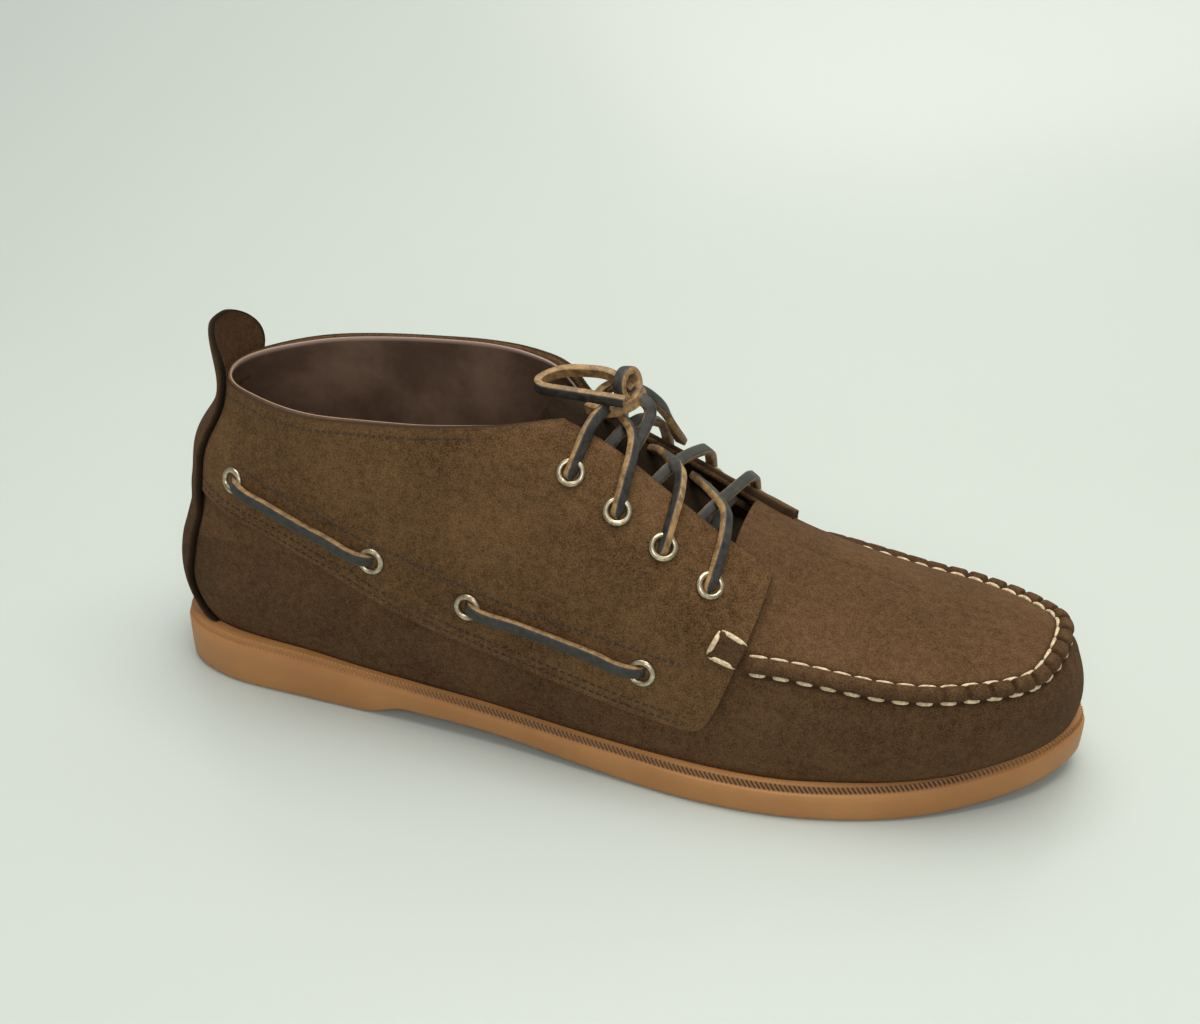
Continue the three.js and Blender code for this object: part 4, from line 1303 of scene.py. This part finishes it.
def eyelet(name, place, way):
    side = unit(np.cross(way, UP))
    rise = np.cross(side, way)
    circle = np.cos(TURN)[:, None] * side + np.sin(TURN)[:, None] * rise
    points = place + circle[None] * EYELET_SECTION[:, :1, None] + way * EYELET_SECTION[:, 1:, None]
    quads = grid_quads(len(EYELET_SECTION), len(TURN), True)
    close = grid_quads(2, len(TURN), True)
    far = (len(EYELET_SECTION) - 1) * len(TURN)
    close = np.where(close >= len(TURN), close - len(TURN), close + far)
    ring = piece(f"ring_{name}", points.reshape(-1, 3), np.concatenate([quads, close]), brass)
    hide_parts(name)


for side_name, side in SIDES:
    for stem, table in (("eyelet", LACING[side]), ("side_eyelet", SIDE_LACE)):
        for i, (along, up) in enumerate(table):
            place, way = on_side(along, up, side, QUARTER_STEP)
            eyelet(f"{stem}_{side_name}_{i + 1}", place, way)

# %% [markdown]
# Stitches are short lengths of thread that stand a little proud and dive into the leather at both
# ends. One helper lays a row of them along any line on the boot.

# %% Thread
def thread(name, dark, light):
    material, tree, shader = paint(name)
    spot = noise(tree, 900, 3, 0.6, own_space(tree))
    tree.links.new(mottle(tree, spot, 0.3, 0.7, dark, light), shader.inputs["Base Color"])
    shader.inputs["Roughness"].default_value = 0.75
    add_bump(tree, shader, spot, 0.4, 0.0002)
    return material


cream_thread = thread("cream_thread", (0.42, 0.3, 0.17), (0.78, 0.64, 0.42))
brown_thread = thread("brown_thread", (0.014, 0.009, 0.006), (0.045, 0.028, 0.017))

STITCH_ALONG = np.array([-1, -0.82, -0.45, 0, 0.45, 0.82, 1])
STITCH_SIZE = np.array([0.45, 0.8, 1, 1, 1, 0.8, 0.45])
STITCH_TURN = np.linspace(0, 2 * np.pi, 9)[:-1]


def stitch_row(path, ways, pitch, length, radius):
    """Points and quads of a row of stitches along a line, each way pointing out of the leather."""
    run = np.append(0, np.cumsum(np.linalg.norm(np.diff(path, axis=0), axis=1)))
    centres = np.arange(pitch / 2, run[-1] - length / 2, pitch)
    at = centres[:, None] + STITCH_ALONG * length / 2
    spots = np.stack([np.interp(at, run, column) for column in path.T], -1)
    out = unit(np.stack([np.interp(at, run, column) for column in ways.T], -1))
    ahead = unit(np.gradient(spots, axis=1))
    across = np.cross(ahead, out)
    sink = 1.1 * radius * (1 - np.abs(STITCH_ALONG) ** 2.5) - 0.75 * radius
    spots = spots + out * sink[None, :, None]
    size = radius * STITCH_SIZE[None, :, None, None]
    ring = np.cos(STITCH_TURN)[:, None] * across[:, :, None]
    ring = ring + np.sin(STITCH_TURN)[:, None] * out[:, :, None]
    rings = spots[:, :, None] + ring * size
    around, stops = len(STITCH_TURN), len(STITCH_ALONG)
    body = grid_quads(stops, around, True)
    ends = [list(range(around))[::-1], list(range((stops - 1) * around, stops * around))]
    points = rings.reshape(-1, 3)
    faces = []
    for i in range(len(centres)):
        faces += (body + i * stops * around).tolist()
        faces += [[k + i * stops * around for k in end] for end in ends]
    return points, faces


def stitches(name, rows, material):
    points, faces, start = [], [], 0
    for row_points, row_faces in rows:
        points.append(row_points)
        faces += [[k + start for k in face] for face in row_faces]
        start += len(row_points)
    piece(name, np.concatenate(points), faces, material)
    print(name, len(faces), "faces")


# %% Moccasin stitches
def seam_row(off, lift):
    """A line on the wall at a distance from the moccasin seam, from one quarter to the other."""
    w = np.linspace(0.305, 0.695, 1500)
    down, up = seam_scale(w)
    v = 1 + np.where(off < 0, off / down, off / up)
    bare = last_point(w, v)
    keep = x_to_along(bare[:, 0]) > 67.2
    out = last_normal(w, v)
    points = bare + out * (wall_depth(w, v, bare) + lift)[:, None]
    return points[keep], out[keep]


wall_row = stitch_row(*seam_row(-2.7, 0.35), SEAM_PITCH, 4.9, 0.74)
toe_row = stitch_row(*seam_row(2.6, 0.3), 6.2, 5.7, 0.62)
stitches("toe_stitches", [wall_row, toe_row], cream_thread)


# %% Quarter stitches
def quarter_row(side, distance, upper=False):
    """A line on a quarter at a distance from its lower or its upper edge."""
    end = quarter_end(side) * 0.985
    half = np.linspace(0.03, 0.2 if upper else end, 900)
    w = half if side < 0 else 1 - half
    low, high = quarter_levels(w)
    v = (low + high) / 2
    edge_v = high if upper else low
    for _ in range(6):
        reach = np.linalg.norm(last_point(w, v) - last_point(w, edge_v), axis=-1)
        v = edge_v + (v - edge_v) * distance / np.maximum(reach, 1e-3)
    bare = last_point(w, v)
    out = last_normal(w, v)
    inside = (v > low) & (v < high)
    return (bare + out * (waves(bare) + QUARTER_STEP)[:, None])[inside], out[inside]


rows = []
for side in (-1, 1):
    for distance in (2.6, 5.2):
        rows.append(stitch_row(*quarter_row(side, distance), 2.5, 1.9, 0.26))
    rows.append(stitch_row(*quarter_row(side, 3.6, upper=True), 2.3, 1.7, 0.24))
stitches("quarter_stitches", rows, brown_thread)

# %% [markdown]
# A small suede patch covers each end of the moccasin seam where it meets the quarter. Three long
# stitches of the same thick thread hold it. Above the side lace a dark row closes the channel that
# the lace runs in.

# %% Seam patches
PATCH = np.array([(63.4, 49.3), (64.2, 55.4), (67.0, 51.0), (66.4, 46.3)])
PATCH_TOP, PATCH_FOOT, PATCH_THREAD = 4.1, 1.4, 3.6
patch_share = np.linspace(0, 1, 11)


def patch_place(share, rise, side, lift):
    foot = PATCH[0] + (PATCH[3] - PATCH[0]) * share
    head = PATCH[1] + (PATCH[2] - PATCH[1]) * share
    return on_side(*(foot + (head - foot) * rise), side, lift)


def patch_side(ends, side):
    """One long stitch along a side of the patch."""
    line = [ends[0] + (ends[1] - ends[0]) * share for share in patch_share]
    places = [on_side(along, up, side, PATCH_THREAD) for along, up in line]
    path, ways = (np.array(part) for part in zip(*places))
    length = np.linalg.norm(np.diff(path, axis=0), axis=1).sum()
    return stitch_row(path, ways, length, 0.94 * length, 0.8)


patch_rows = []
for side_name, side in SIDES:
    sheets = []
    for lift in (PATCH_TOP, PATCH_FOOT):
        sheet = [[patch_place(s, r, side, lift)[0] for s in patch_share] for r in patch_share]
        sheets.append(np.array(sheet))
    points, quads = slab(*sheets)
    made = piece(f"seam_patch_{side_name}", points, face_out(quads, side), strap_suede)
    for first, second in ((0, 1), (1, 2), (0, 3)):
        patch_rows.append(patch_side((PATCH[first], PATCH[second]), side))
stitches("patch_stitches", patch_rows, cream_thread)

CHANNEL_ROW = [
    (12, 80.5), (16, 77), (21.7, 72.2), (27.3, 65.7), (31.6, 62.3), (36.1, 58.1), (43.7, 53.1),
    (51.9, 49.9), (58.6, 46.5), (62.9, 44.1),
]
channel_line = open_curve(CHANNEL_ROW, 60)
channel_rows = []
for side in (-1, 1):
    places = [on_side(along, up, side, QUARTER_STEP) for along, up in channel_line]
    path, ways = (np.array(part) for part in zip(*places))
    path = path + ways * waves(path)[:, None]
    channel_rows.append(stitch_row(path, ways, 2.2, 1.7, 0.3))
stitches("channel_stitches", channel_rows, brown_thread)
